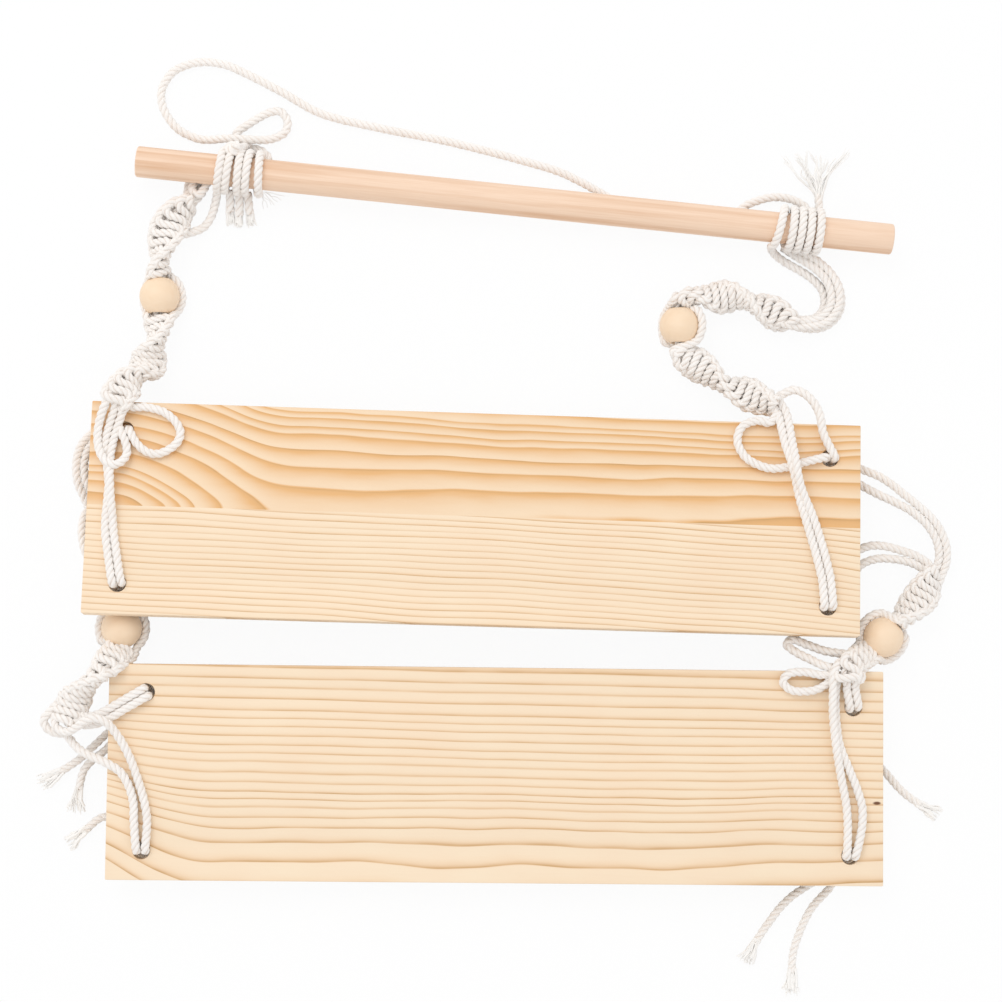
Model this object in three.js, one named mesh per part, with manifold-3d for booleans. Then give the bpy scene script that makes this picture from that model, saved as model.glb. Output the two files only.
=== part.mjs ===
// Two-tier hanging rope shelf: two pine boards and a dowel carried by knotted cotton cords.
// It lies slack on a flat surface at z = 0, the dowel towards +y, seen from +z. Millimetres.

import * as THREE from 'three';
import { mergeVertices } from 'three/addons/utils/BufferGeometryUtils.js';
import Module from 'manifold-3d';

const wasm = await Module();
wasm.setup();

// Driving dimensions
const boardLength = 420;
const boardDepth = 116;
const boardThickness = 10;
const boardCorner = 1.5;
const holeDiameter = 10.8;
const dowelDiameter = 17;
const dowelLength = 420;
const dowelChamfer = 0.8;
const cordDiameter = 4.8;
const cordGap = 0.3;
const windingClearance = 0.3;
const windingPitch = 5.55;
const windingTurns = 5;
const windingTail = 4.8;
const beadDiameter = 22;
const beadFlatDepth = 2;
const beadBore = 10.6;
const beadStandOff = 1.6;
const sennitThickness = 9;
const coreWidth = 9.4;
const coreThickness = 4.6;
const knotDiameter = 14.4;
const knotFlat = 9.4;
const stubDiameter = 9.8;
const stubRise = 6;

// Where the rigid pieces lie
const upperBoardPlace = { x: -14.8, y: -11.1, top: 27.5, turn: -1.7, tilt: -5.35 };
const lowerBoardPlace = { x: -2.8, y: -150, top: 22.3, turn: -0.64, tilt: 0 };
const dowelPlace = { x: 7.8, y: 165.6, z: 14, turn: -5.63 };
// Each hole's distance from its board's short end and long side
const upperHoleInsets = {
  upper_left: [18.6, 15.7], upper_right: [16.9, 18.6], lower_left: [18.7, 16.7], lower_right: [17.6, 15.6],
};
const lowerHoleInsets = {
  upper_left: [19.9, 15.4], upper_right: [16.4, 19.5], lower_left: [19.1, 16], lower_right: [18, 16.3],
};
const windingStarts = { left: -166.75, right: 146.75 };
const beadPlaces = {
  upper_left: { at: [-188.3, 112, 11], along: [0, -1, 0] },
  upper_right: { at: [98.5, 96.7, 11], along: [0, -1, 0] },
  lower_left: { at: [-207.3, -70.6, 11], along: [-0.13, -0.99, 0] },
  lower_right: { at: [209.4, -75.5, 14.5], along: [-0.71, -0.7, 0] },
};

// Moves the bottom centre of the whole layout to the origin
const layoutShift = [1.9, 11.87, 0];

// How finely curved pieces are cut
const cordSides = 8;
const windingSides = 6;
const windingSteps = 24;
const sennitSides = 12;
const roundSides = 20;
const beadArcSteps = 7;
const cordStep = 2.2 * cordDiameter;
const loopStep = 1.1 * cordDiameter;
const sennitStep = 4.2;

const cordRadius = cordDiameter / 2;
const beadLength = beadDiameter - 2 * beadFlatDepth;
const colours = { pine: '#e9c99a', dowel: '#ecc6a0', bead: '#eec492', cotton: '#f4efe6' };

const layout = new THREE.Group();
layout.position.set(...layoutShift);

const materials = {
  pine: new THREE.MeshStandardMaterial({ color: colours.pine, roughness: 0.6, metalness: 0 }),
  dowel: new THREE.MeshStandardMaterial({ color: colours.dowel, roughness: 0.55, metalness: 0 }),
  bead: new THREE.MeshStandardMaterial({ color: colours.bead, roughness: 0.5, metalness: 0 }),
  cotton: new THREE.MeshStandardMaterial({ color: colours.cotton, roughness: 0.95, metalness: 0 }),
};

function addPiece(name, geometry, material, parent = layout) {
  const mesh = new THREE.Mesh(geometry, material.clone());
  mesh.name = name;
  parent.add(mesh);
  return mesh;
}

function vectors(points) {
  return points.map(([x, y, z]) => new THREE.Vector3(x, y, z));
}

function curveThrough(points) {
  return new THREE.CatmullRomCurve3(vectors(points), false, 'centripetal');
}

function circlePoints(sides) {
  const points = [];
  for (let side = 0; side < sides; side += 1) {
    const angle = ((side + 0.5) / sides) * 2 * Math.PI;
    points.push(new THREE.Vector2(Math.cos(angle), Math.sin(angle)));
  }
  return points;
}

// A round cord along a curve.
function cord(points, step = cordStep) {
  const path = curveThrough(points);
  const section = circlePoints(cordSides).map((point) => point.multiplyScalar(cordRadius));
  const steps = Math.max(2, Math.round(path.getLength() / step));
  return new THREE.ExtrudeGeometry(new THREE.Shape(section), {
    steps, extrudePath: path, bevelEnabled: false,
  });
}

// An oval bar whose rings each have a place, a direction, a roll and two half sizes.
function ovalBar(rings, sides, up = new THREE.Vector3(0, 0, 1)) {
  const last = rings.length - 1;
  const geometry = new THREE.ExtrudeGeometry(new THREE.Shape(circlePoints(sides)), {
    steps: last, depth: 1, bevelEnabled: false,
  });
  const position = geometry.attributes.position;
  const place = new THREE.Vector3();
  for (let index = 0; index < position.count; index += 1) {
    const ring = rings[Math.round(position.getZ(index) * last)];
    const level = new THREE.Vector3().crossVectors(up, ring.along).normalize();
    const rise = new THREE.Vector3().crossVectors(ring.along, level);
    const across = position.getX(index) * ring.halfWidth;
    const over = position.getY(index) * ring.halfThickness;
    const levelShare = across * Math.cos(ring.roll) - over * Math.sin(ring.roll);
    const riseShare = across * Math.sin(ring.roll) + over * Math.cos(ring.roll);
    place.copy(ring.at).addScaledVector(level, levelShare).addScaledVector(rise, riseShare);
    position.setXYZ(index, place.x, place.y, place.z);
  }
  geometry.computeVertexNormals();
  return geometry;
}

// Rings along a route whose points carry x, y, z, roll in degrees and half width.
function ringsAlong(route, thickness, step) {
  const path = curveThrough(route);
  const lengths = path.getLengths(200);
  const total = lengths[lengths.length - 1];
  const marks = route.map((point, index) => {
    const share = index / (route.length - 1);
    return lengths[Math.round(share * 200)];
  });
  const steps = Math.max(2, Math.round(total / step));
  const rings = [];
  for (let count = 0; count <= steps; count += 1) {
    const share = count / steps;
    const reached = share * total;
    let span = 0;
    while (span < marks.length - 2 && marks[span + 1] < reached) {
      span += 1;
    }
    const mix = THREE.MathUtils.clamp((reached - marks[span]) / (marks[span + 1] - marks[span]), 0, 1);
    const [from, to] = [route[span], route[span + 1]];
    rings.push({
      at: path.getPointAt(share),
      along: path.getTangentAt(share),
      roll: THREE.MathUtils.degToRad(from[3] + (to[3] - from[3]) * mix),
      halfWidth: from[4] + (to[4] - from[4]) * mix,
      halfThickness: thickness / 2,
    });
  }
  return rings;
}

// Two cords side by side, as one flat oval bar.
function cordPair(points) {
  const pairHalfWidth = cordRadius * 2 + cordGap / 2;
  const route = points.map((point) => [...point, 0, pairHalfWidth]);
  return ovalBar(ringsAlong(route, cordDiameter, cordStep), cordSides);
}

function asSolid(geometry) {
  const bare = geometry.clone();
  bare.deleteAttribute('normal');
  bare.deleteAttribute('uv');
  const merged = mergeVertices(bare, cordGap / 100);
  const mesh = new wasm.Mesh({
    numProp: 3,
    vertProperties: new Float32Array(merged.attributes.position.array),
    triVerts: new Uint32Array(merged.index.array),
  });
  return new wasm.Manifold(mesh);
}

function asGeometry(solid) {
  const mesh = solid.getMesh();
  const geometry = new THREE.BufferGeometry();
  geometry.setAttribute('position', new THREE.BufferAttribute(new Float32Array(mesh.vertProperties), 3));
  geometry.setIndex(new THREE.BufferAttribute(new Uint32Array(mesh.triVerts), 1));
  geometry.computeVertexNormals();
  return geometry;
}

// Boards
const cornerSigns = {
  upper_left: [-1, 1],
  upper_right: [1, 1],
  lower_left: [-1, -1],
  lower_right: [1, -1],
};

function holeCentre(corner, insets) {
  const [endSign, sideSign] = cornerSigns[corner];
  const [endInset, sideInset] = insets[corner];
  return new THREE.Vector2(
    endSign * (boardLength / 2 - endInset), sideSign * (boardDepth / 2 - sideInset),
  );
}

function boardGeometry(insets) {
  const halfLength = boardLength / 2;
  const halfDepth = boardDepth / 2;
  const outline = new THREE.Shape();
  outline.moveTo(-halfLength + boardCorner, -halfDepth);
  outline.lineTo(halfLength - boardCorner, -halfDepth);
  outline.lineTo(halfLength, -halfDepth + boardCorner);
  outline.lineTo(halfLength, halfDepth - boardCorner);
  outline.lineTo(halfLength - boardCorner, halfDepth);
  outline.lineTo(-halfLength + boardCorner, halfDepth);
  outline.lineTo(-halfLength, halfDepth - boardCorner);
  outline.lineTo(-halfLength, -halfDepth + boardCorner);
  outline.closePath();
  for (const corner of Object.keys(cornerSigns)) {
    const centre = holeCentre(corner, insets);
    const hole = circlePoints(roundSides).map((point) => (
      point.multiplyScalar(holeDiameter / 2).add(centre)
    ));
    outline.holes.push(new THREE.Path(hole));
  }
  const geometry = new THREE.ExtrudeGeometry(outline, { depth: boardThickness, bevelEnabled: false });
  return geometry.translate(0, 0, -boardThickness);
}

// A knot under the board with its pair of cords rising through the hole.
function knotGeometry(height) {
  const bottom = -boardThickness - cordGap - height;
  const top = -boardThickness - cordGap;
  const shoulder = (knotDiameter - knotFlat) / 2;
  const profile = [
    [0, bottom],
    [knotFlat / 2, bottom],
    [knotDiameter / 2, bottom + shoulder],
    [knotDiameter / 2, top - shoulder],
    [stubDiameter / 2, top],
    [stubDiameter / 2, stubRise],
    [0, stubRise],
  ];
  const points = profile.map(([radius, height]) => new THREE.Vector2(radius, height));
  return new THREE.LatheGeometry(points, roundSides).rotateX(Math.PI / 2);
}

function shelf(name, place, insets, knotHeights) {
  const group = new THREE.Group();
  group.position.set(place.x, place.y, place.top);
  group.rotation.set(THREE.MathUtils.degToRad(place.tilt), 0, THREE.MathUtils.degToRad(place.turn), 'ZYX');
  layout.add(group);
  addPiece(`${name}_board`, boardGeometry(insets), materials.pine, group);
  for (const [corner, height] of Object.entries(knotHeights)) {
    const knot = addPiece(`${name}_knot_${corner}`, knotGeometry(height), materials.cotton, group);
    const centre = holeCentre(corner, insets);
    knot.position.set(centre.x, centre.y, 0);
  }
}

shelf('upper_shelf', upperBoardPlace, upperHoleInsets, {
  upper_left: 12.7, upper_right: 12.7, lower_left: 9.2, lower_right: 12.7,
});
shelf('lower_shelf', lowerBoardPlace, lowerHoleInsets, {
  upper_left: 12, upper_right: 12, lower_left: 12, lower_right: 12,
});

// Dowel
const dowelGroup = new THREE.Group();
dowelGroup.position.set(dowelPlace.x, dowelPlace.y, dowelPlace.z);
dowelGroup.rotation.z = THREE.MathUtils.degToRad(dowelPlace.turn);
layout.add(dowelGroup);

function dowelGeometry() {
  const radius = dowelDiameter / 2;
  const end = dowelLength / 2;
  const profile = [
    [0, -end],
    [radius - dowelChamfer, -end],
    [radius, -end + dowelChamfer],
    [radius, end - dowelChamfer],
    [radius - dowelChamfer, end],
    [0, end],
  ].map(([distance, height]) => new THREE.Vector2(distance, height));
  return new THREE.LatheGeometry(profile, roundSides).rotateZ(-Math.PI / 2);
}

addPiece('dowel', dowelGeometry(), materials.dowel, dowelGroup);

// The cord wound round the dowel, in the dowel's own frame. The lead comes in below from -y.
const windingRadius = dowelDiameter / 2 + windingClearance + cordRadius;

function windingPoint(start, turn) {
  const angle = turn * 2 * Math.PI - Math.PI / 2;
  return new THREE.Vector3(
    start + turn * windingPitch, windingRadius * Math.cos(angle), windingRadius * Math.sin(angle),
  );
}

function windingPath(start, lead) {
  const toDowel = dowelGroup.matrix.clone().invert();
  const leadIn = vectors(lead).map((point) => point.applyMatrix4(toDowel));
  const leadCurve = new THREE.CatmullRomCurve3(
    [...leadIn, windingPoint(start, 0).add(new THREE.Vector3(0, -windingTail, 0))], false, 'centripetal',
  );
  const leadSteps = Math.round(leadCurve.getLength() / cordStep);
  const points = leadCurve.getSpacedPoints(leadSteps);
  for (let count = 0; count <= windingTurns * windingSteps; count += 1) {
    points.push(windingPoint(start, count / windingSteps));
  }
  points.push(windingPoint(start, windingTurns).add(new THREE.Vector3(0, windingTail, 0)));
  return { points, first: leadSteps + 1 };
}

function windingSelfGap(points, first) {
  let least = Infinity;
  for (let here = first; here < points.length; here += 1) {
    for (let there = here + windingSteps / 2; there < points.length; there += 1) {
      const nearest = new THREE.Line3(points[there - 1], points[there]).closestPointToPoint(
        points[here], true, new THREE.Vector3(),
      );
      least = Math.min(least, nearest.distanceTo(points[here]) - cordDiameter);
    }
  }
  return least;
}

function winding(name, start, lead) {
  const { points, first } = windingPath(start, lead);
  console.log(`${name}: least gap to itself ${windingSelfGap(points, first).toFixed(2)} mm`);
  const rings = points.map((point, index) => {
    const before = points[Math.max(0, index - 1)];
    const after = points[Math.min(points.length - 1, index + 1)];
    return {
      at: point,
      along: after.clone().sub(before).normalize(),
      roll: 0,
      halfWidth: cordRadius,
      halfThickness: cordRadius,
    };
  });
  addPiece(name, ovalBar(rings, windingSides, new THREE.Vector3(1, 0, 0)), materials.cotton, dowelGroup);
}

dowelGroup.updateMatrix();
winding('left_winding', windingStarts.left, [
  [-171.2, 150.2, 6], [-165.6, 154, 3.4], [-159, 159.5, 2.8], [-156.4, 166, 2.8], [-157.6, 172, 2.8],
]);
winding('right_winding', windingStarts.right, [
  [174, 120.6, 3], [166, 125.4, 2.8], [157, 130.5, 2.8], [153.2, 138, 2.8],
]);

// Sennits: the knotted straps, twisted as they are tied. One ends above its bead and carries the
// two core cords through the bore, the other starts below it.
const beadSeat = beadLength / 2 + beadStandOff;

function beadPoint(place, distance) {
  const along = new THREE.Vector3(...place.along).normalize();
  return { at: new THREE.Vector3(...place.at).addScaledVector(along, distance), along };
}

function sennitAbove(name, route, place, [roll, halfWidth]) {
  const seat = beadPoint(place, -beadSeat);
  const rings = ringsAlong([...route, [...seat.at.toArray(), roll, halfWidth]], sennitThickness, sennitStep);
  const last = rings[rings.length - 1];
  last.along = seat.along;
  for (const distance of [-beadSeat, beadSeat - cordGap]) {
    rings.push({
      ...last, ...beadPoint(place, distance), halfWidth: coreWidth / 2, halfThickness: coreThickness / 2,
    });
  }
  addPiece(name, ovalBar(rings, sennitSides), materials.cotton);
}

function sennitBelow(name, route, place, [roll, halfWidth]) {
  const seat = beadPoint(place, beadSeat);
  const rings = ringsAlong([[...seat.at.toArray(), roll, halfWidth], ...route], sennitThickness, sennitStep);
  rings[0].along = seat.along;
  addPiece(name, ovalBar(rings, sennitSides), materials.cotton);
}

// Routes: x, y, z, roll in degrees, half width. The bead ends have roll and half width alone.
const sennitRoutes = {
  upper_left: {
    above: [
      [-172.9, 164.2, 7.4, -75, 8], [-179.5, 157, 11, -30, 10], [-183.9, 149.5, 11.3, 0, 11],
      [-187.2, 139, 11.3, 45, 11], [-188.2, 130.5, 11.2, 90, 11],
    ],
    beadEnds: [[130, 10], [0, 9.5]],
    below: [
      [-188.6, 94, 11.2, 45, 10], [-190.2, 85, 11.3, 90, 10.6], [-194.6, 73.4, 12, 180, 11],
      [-200, 66.8, 17, 270, 10.4], [-204.6, 60.8, 24.5, 345, 9.6], [-208.2, 55.2, 28.8, 360, 9.6],
      [-210.3, 51.6, 29.6, 360, 9.6],
    ],
  },
  upper_right: {
    above: [
      [159.9, 96.8, 8, -70, 7.6], [149.5, 104.2, 11, 0, 11], [135.6, 109.5, 11.3, 90, 11],
      [121.7, 112.8, 11.3, 180, 11], [109.5, 113.4, 11.3, 260, 10], [101.6, 111.6, 11.2, 280, 9.5],
    ],
    beadEnds: [[290, 9.5], [70, 9.5]],
    below: [
      [101.4, 79.6, 11.1, 90, 9.5], [109.5, 72.2, 11.3, 120, 10.4],
      [120.8, 65.5, 11.8, 180, 10.8], [135.2, 58.3, 15.5, 290, 10], [150.2, 51.7, 22, 360, 8],
    ],
  },
  lower_left: {
    above: [
      [-222, -10, 5, 0, 9], [-219, -24, 4.9, 0, 9], [-214.5, -40, 4.9, 0, 9], [-209.6, -52, 5.6, 0, 8.5],
    ],
    beadEnds: [[20, 7.6], [60, 7.5]],
    below: [
      [-215, -84.9, 12, 70, 8.4], [-223.6, -92, 13.5, 90, 8.4], [-229, -102.5, 16, 120, 9],
      [-233.4, -111.6, 18.4, 150, 10], [-237.4, -120.5, 20, 180, 10],
    ],
  },
  lower_right: {
    above: [
      [238.8, -40, 6.4, 0, 10.5], [233.2, -50, 9.5, 40, 10.5], [225.6, -59.4, 13, 90, 10.5],
    ],
    beadEnds: [[130, 9.5], [30, 8.5]],
    below: [
      [197.6, -85.2, 18.4, 10, 8], [192, -88.9, 26.2, 0, 7.6], [187, -92.6, 30, 0, 7.8],
      [186.8, -98.4, 30.2, 0, 9.8],
    ],
  },
};

for (const [corner, routes] of Object.entries(sennitRoutes)) {
  const place = beadPlaces[corner];
  sennitAbove(`${corner}_sennit_above`, routes.above, place, routes.beadEnds[0]);
  sennitBelow(`${corner}_sennit_below`, routes.below, place, routes.beadEnds[1]);
}

// Beads
function beadGeometry() {
  const radius = beadDiameter / 2;
  const half = beadLength / 2;
  const edge = Math.acos(half / radius);
  const profile = [new THREE.Vector2(beadBore / 2, half), new THREE.Vector2(beadBore / 2, -half)];
  for (let count = 0; count <= beadArcSteps; count += 1) {
    const angle = -Math.PI / 2 + edge + (count / beadArcSteps) * (Math.PI - 2 * edge);
    profile.push(new THREE.Vector2(radius * Math.cos(angle), radius * Math.sin(angle)));
  }
  profile.push(profile[0].clone());
  return new THREE.LatheGeometry(profile, roundSides);
}

for (const [corner, place] of Object.entries(beadPlaces)) {
  const bead = addPiece(`${corner}_bead`, beadGeometry(), materials.bead);
  bead.position.set(...place.at);
  const along = new THREE.Vector3(...place.along).normalize();
  bead.quaternion.setFromUnitVectors(new THREE.Vector3(0, -1, 0), along);
}

// The two knotting cords of each strap pass outside the bead, one on each side.
const sideReach = beadDiameter / 2 + cordRadius + 2 * cordGap;
const sideBend = Math.asin((beadSeat - cordGap) / (sideReach + cordRadius));

function sideCord(name, place, angle) {
  const along = new THREE.Vector3(...place.along).normalize();
  const level = new THREE.Vector3().crossVectors(new THREE.Vector3(0, 0, 1), along);
  const out = level.multiplyScalar(Math.cos(angle)).add(new THREE.Vector3(0, 0, Math.sin(angle)));
  const points = [-1, -0.5, 0, 0.5, 1].map((share) => (
    new THREE.Vector3(...place.at)
      .addScaledVector(along, sideReach * Math.sin(share * sideBend))
      .addScaledVector(out, sideReach * Math.cos(share * sideBend))
      .toArray()
  ));
  addPiece(name, cord(points, loopStep), materials.cotton);
}

const sideAngles = {
  upper_left: [10, 215], upper_right: [8, 188], lower_left: [5, 185], lower_right: [-10, 175],
};
for (const [corner, place] of Object.entries(beadPlaces)) {
  sideAngles[corner].forEach((angle, index) => {
    const side = ['right', 'left'][index];
    sideCord(`${corner}_bead_cord_${side}`, place, THREE.MathUtils.degToRad(angle));
  });
}

// Necks: the bunch of cords between the dowel and each upper strap
const neckRoutes = {
  left: [
    [-166.6, 186, 2.7, 0, 4.6, 2.3], [-166.8, 178, 2.7, 0, 4.6, 2.3], [-168.3, 172, 3.2, 0, 4.6, 2.6],
    [-172.5, 165, 6.6, 0, 5, 3.6],
  ],
  right: [
    [168.1, 134.2, 5.6, 0, 5.2, 5.2], [173, 131.6, 5.6, 0, 5.2, 5.2], [179.3, 127.6, 5.6, 0, 5.2, 5.2],
    [186.3, 120, 5.6, 0, 5.2, 5.2], [188.4, 111, 5.6, 0, 5.2, 5.2], [186, 102, 5.6, 0, 5.2, 5.2],
    [179, 95.8, 6, 0, 5.2, 5.2], [171.5, 93.6, 7, 0, 5.2, 5.2], [162.2, 95.4, 8, 0, 5.2, 5.2],
  ],
};
for (const [side, route] of Object.entries(neckRoutes)) {
  const rings = ringsAlong(route, cordDiameter, cordStep);
  rings.forEach((ring, index) => {
    const share = index / (rings.length - 1);
    ring.halfThickness = THREE.MathUtils.lerp(route[0][5], route[route.length - 1][5], share);
  });
  addPiece(`${side}_neck`, ovalBar(rings, cordSides), materials.cotton);
}

// The frayed end of the right winding, spread on the surface
const brushRoute = [
  [182, 154, 2.8, 0, 2.4], [181.6, 161, 2.8, 0, 2.6], [180.2, 168, 2.8, 0, 4],
  [178.8, 178, 2.8, 0, 11], [178.4, 188, 2.8, 0, 17],
];
addPiece('right_frayed_end', ovalBar(ringsAlong(brushRoute, 4.4, 5), cordSides), materials.cotton);

// The cord that the shelf hangs by, lying slack
addPiece('hanging_cord', cord([
  [-129.9, 185.3, 2.8], [-129.6, 190.8, 2.7], [-134, 195.2, 2.7], [-141, 196.8, 2.7],
  [-147.4, 199.4, 2.7], [-147.2, 205, 2.7], [-140.6, 210, 2.7], [-129.9, 216.3, 2.7], [-123.2, 217.2, 2.7],
  [-119.2, 211.9, 2.7], [-120.5, 205.5, 2.9], [-128.7, 201, 4.8], [-138, 200, 8.4],
  [-147.5, 200.4, 9.2], [-155.5, 200.8, 6.8], [-163, 200.8, 3.8], [-170, 202, 2.7],
  [-180.5, 207.5, 2.7], [-188.4, 219.3, 2.7], [-189, 229.4, 2.7], [-183, 239.1, 2.7],
  [-173.6, 243.7, 2.7], [-165.3, 244.9, 2.7], [-153.6, 243.3, 2.7], [-141.8, 238.2, 2.7],
  [-122.3, 228.2, 2.7], [-101.1, 216.5, 2.7], [-67.6, 208.2, 2.7], [-28.6, 200.6, 2.7],
  [10.5, 190.7, 2.7], [32.9, 184, 2.7], [45.7, 177.9, 2.7], [55.8, 172.3, 2.7],
  [68, 165.5, 2.7], [85, 160.8, 2.7], [105, 157.6, 2.7], [121, 158.3, 2.7],
  [130.8, 161.6, 2.7], [139.7, 167, 2.7], [153.6, 170.6, 2.7], [164.5, 168.6, 2.7],
  [170.8, 164.4, 2.7], [172.2, 160.6, 2.7],
], 0.9 * cordStep), materials.cotton);

// Cords on the upper board, from the upper straps to the holes
addPiece('upper_left_leg_outer', cord([
  [-217.6, 53, 32], [-218.6, 46, 32.8], [-217.4, 36, 32.8], [-215.3, 25, 33.4], [-209.8, 17.2, 33.8],
  [-203.4, 20.5, 33], [-203.2, 26, 30.6], [-205, 31, 28.2],
], loopStep), materials.cotton);
addPiece('upper_left_leg_inner', cord([
  [-205.5, 45.1, 28], [-200.2, 43.9, 26.6], [-195, 44.6, 26], [-188.3, 46, 26], [-178.5, 42.2, 26.4],
  [-173.8, 36, 26.9], [-175.7, 28.8, 27.5], [-182.5, 24, 28], [-189.7, 23, 28.1], [-195.3, 26.6, 27.8],
  [-198.3, 30.6, 27.4], [-199.6, 33, 27.2],
], loopStep), materials.cotton);
addPiece('upper_left_leg_pair', cordPair([
  [-211.7, 49.3, 29.2], [-213.4, 45.6, 27.4], [-215.6, 40, 26.9], [-215.6, 31, 27.4], [-214, 16, 28.8],
  [-213.3, -7.2, 30.8], [-212.3, -20, 32], [-209.6, -33, 33.2], [-207.9, -40.6, 34],
]), materials.cotton);
addPiece('upper_right_leg_outer', cord([
  [154.6, 57.9, 21.8], [160.4, 60, 22.2], [168, 56, 23.6], [173.4, 47.2, 25.4], [175.4, 35.5, 26.4],
  [177.7, 27.9, 26.9],
], loopStep), materials.cotton);
addPiece('upper_right_leg_inner', cord([
  [146.6, 41.6, 25], [139.4, 42.6, 24.9], [131, 39.2, 25.3], [128.4, 31.2, 26.2], [132.8, 22.3, 27],
  [144.7, 16.5, 27.5], [154, 16.8, 27.4], [163.4, 19.4, 27.1], [173.6, 21.2, 27],
], loopStep), materials.cotton);
addPiece('upper_right_leg_pair', cordPair([
  [152, 50.8, 22.8], [155.2, 47.6, 24.4], [156.6, 40.5, 27.4], [157.8, 30, 31], [159.2, 21, 33.8],
  [160.6, 13.6, 33.6], [162.2, 6.6, 31.4], [165, -2, 30.2], [167.2, -8.7, 30.1], [172.4, -29.4, 31.9],
  [175.4, -45, 33.4], [176.1, -53, 34.2],
]), materials.cotton);

// Pairs of cords under the upper board, from its knots to the lower straps
addPiece('under_pair_upper_left', cordPair([
  [-213.6, 34.4, 7], [-222, 31.4, 7.4], [-230, 23.5, 7.4], [-233.8, 13.5, 7.2], [-232, 3.5, 7],
  [-225.5, -3.5, 6], [-223.2, -8.8, 5.2],
]), materials.cotton);
addPiece('under_pair_lower_left', cordPair([
  [-215.4, -46.8, 16], [-220.5, -45, 15.3], [-226, -38.5, 14.2], [-230, -29, 13.5],
  [-231.2, -19, 13.3], [-229.6, -8.4, 13],
]), materials.cotton);
addPiece('under_pair_upper_right', cordPair([
  [188, 19.6, 7], [199.8, 12.6, 7], [211, 5, 7.2], [223, -1.5, 7.4], [234, -9, 7.4],
  [242, -19, 7.2], [245.8, -30, 7], [244.3, -40.5, 6.4],
]), materials.cotton);
addPiece('under_pair_lower_right', cordPair([
  [184.8, -59.4, 14], [189, -56.6, 13.2], [192, -48, 11.4], [195.5, -38, 9.8], [203, -30, 8.4],
  [213, -26.6, 7.6], [224, -25, 7], [231.5, -26, 6.6], [236.7, -31.4, 6.4], [234.2, -36.2, 6.4],
]), materials.cotton);

// Cords on the lower board, from the lower straps to the holes
addPiece('lower_left_leg_pair', cordPair([
  [-225.8, -121.4, 21], [-219.5, -121.8, 24.4], [-213.5, -119, 25.7], [-205.4, -113.4, 25.4],
  [-197.3, -108.5, 25.4],
]), materials.cotton);
addPiece('lower_left_leg_front', cord([
  [-240.5, -121.2, 20], [-238, -127.5, 22.4], [-230.5, -130.2, 26.5], [-223.5, -126.4, 31],
  [-217, -120.2, 32.6], [-210.6, -121.4, 32], [-206.3, -129, 28.6], [-201.6, -138.1, 25.7],
  [-196.4, -152.5, 25.4], [-192.9, -167.9, 25.3], [-192.3, -177, 25.3], [-193.2, -184, 25.3],
], loopStep), materials.cotton);
addPiece('lower_left_leg_back', cord([
  [-246, -119.5, 20], [-250.2, -121, 19], [-250.4, -126, 18], [-244, -130.6, 17.6],
  [-236, -133.4, 18.6], [-227, -136.4, 22], [-218.3, -140.8, 25], [-208.1, -146.8, 25.4],
  [-202.3, -154, 25.3], [-199, -164, 25.3], [-198.4, -177, 25.3], [-198.4, -184.1, 25.3],
], loopStep), materials.cotton);
addPiece('lower_right_leg_pair', cordPair([
  [189, -100.4, 29.4], [189.1, -102.7, 27.4], [189.6, -105.3, 26.4],
]), materials.cotton);
addPiece('lower_right_leg_front', cord([
  [181, -100, 29.4], [180.9, -104, 26.6], [181.6, -116, 25.4], [184.9, -133, 25.4], [191.2, -152, 25.4],
  [195.6, -168, 25.4], [194.8, -180, 25.4], [191.6, -188.7, 25.4],
]), materials.cotton);
addPiece('lower_right_leg_back', cord([
  [175.6, -98.9, 28.6], [175.4, -104, 26], [176, -116, 25.4], [179.2, -133, 25.4],
  [183.8, -151, 25.4], [186.1, -168, 25.4], [186, -180, 25.4], [186.3, -188.5, 25.4],
]), materials.cotton);
addPiece('lower_right_slack_upper', cord([
  [185, -84.4, 22], [177, -83.2, 20.8], [167.5, -80, 20], [158.5, -76.8, 19.4], [155.4, -79.2, 19.4],
  [160, -83.4, 20.4], [167.6, -87.4, 22.4], [174.4, -90.8, 26],
], loopStep), materials.cotton);
addPiece('lower_right_slack_lower', cord([
  [173.4, -96, 26], [163.7, -94.4, 25.5], [155.5, -95.4, 25.5], [152.3, -99.7, 25.5],
  [156.5, -104, 25.5], [165, -104.9, 25.5], [172.2, -103.3, 25.5],
], loopStep), materials.cotton);

// Tails: the cord ends below the lower board's knots, each with a frayed tip
function frayed(points) {
  const rings = ringsAlong(points.map((point) => [...point, 0, cordRadius]), cordDiameter, cordStep);
  const tip = rings[rings.length - 1];
  tip.halfWidth = cordDiameter;
  rings[rings.length - 2].halfWidth = cordRadius * 1.2;
  return ovalBar(rings, cordSides);
}

function tails(name, first, second) {
  addPiece(name, asGeometry(asSolid(frayed(first)).add(asSolid(frayed(second)))), materials.cotton);
}

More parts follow.
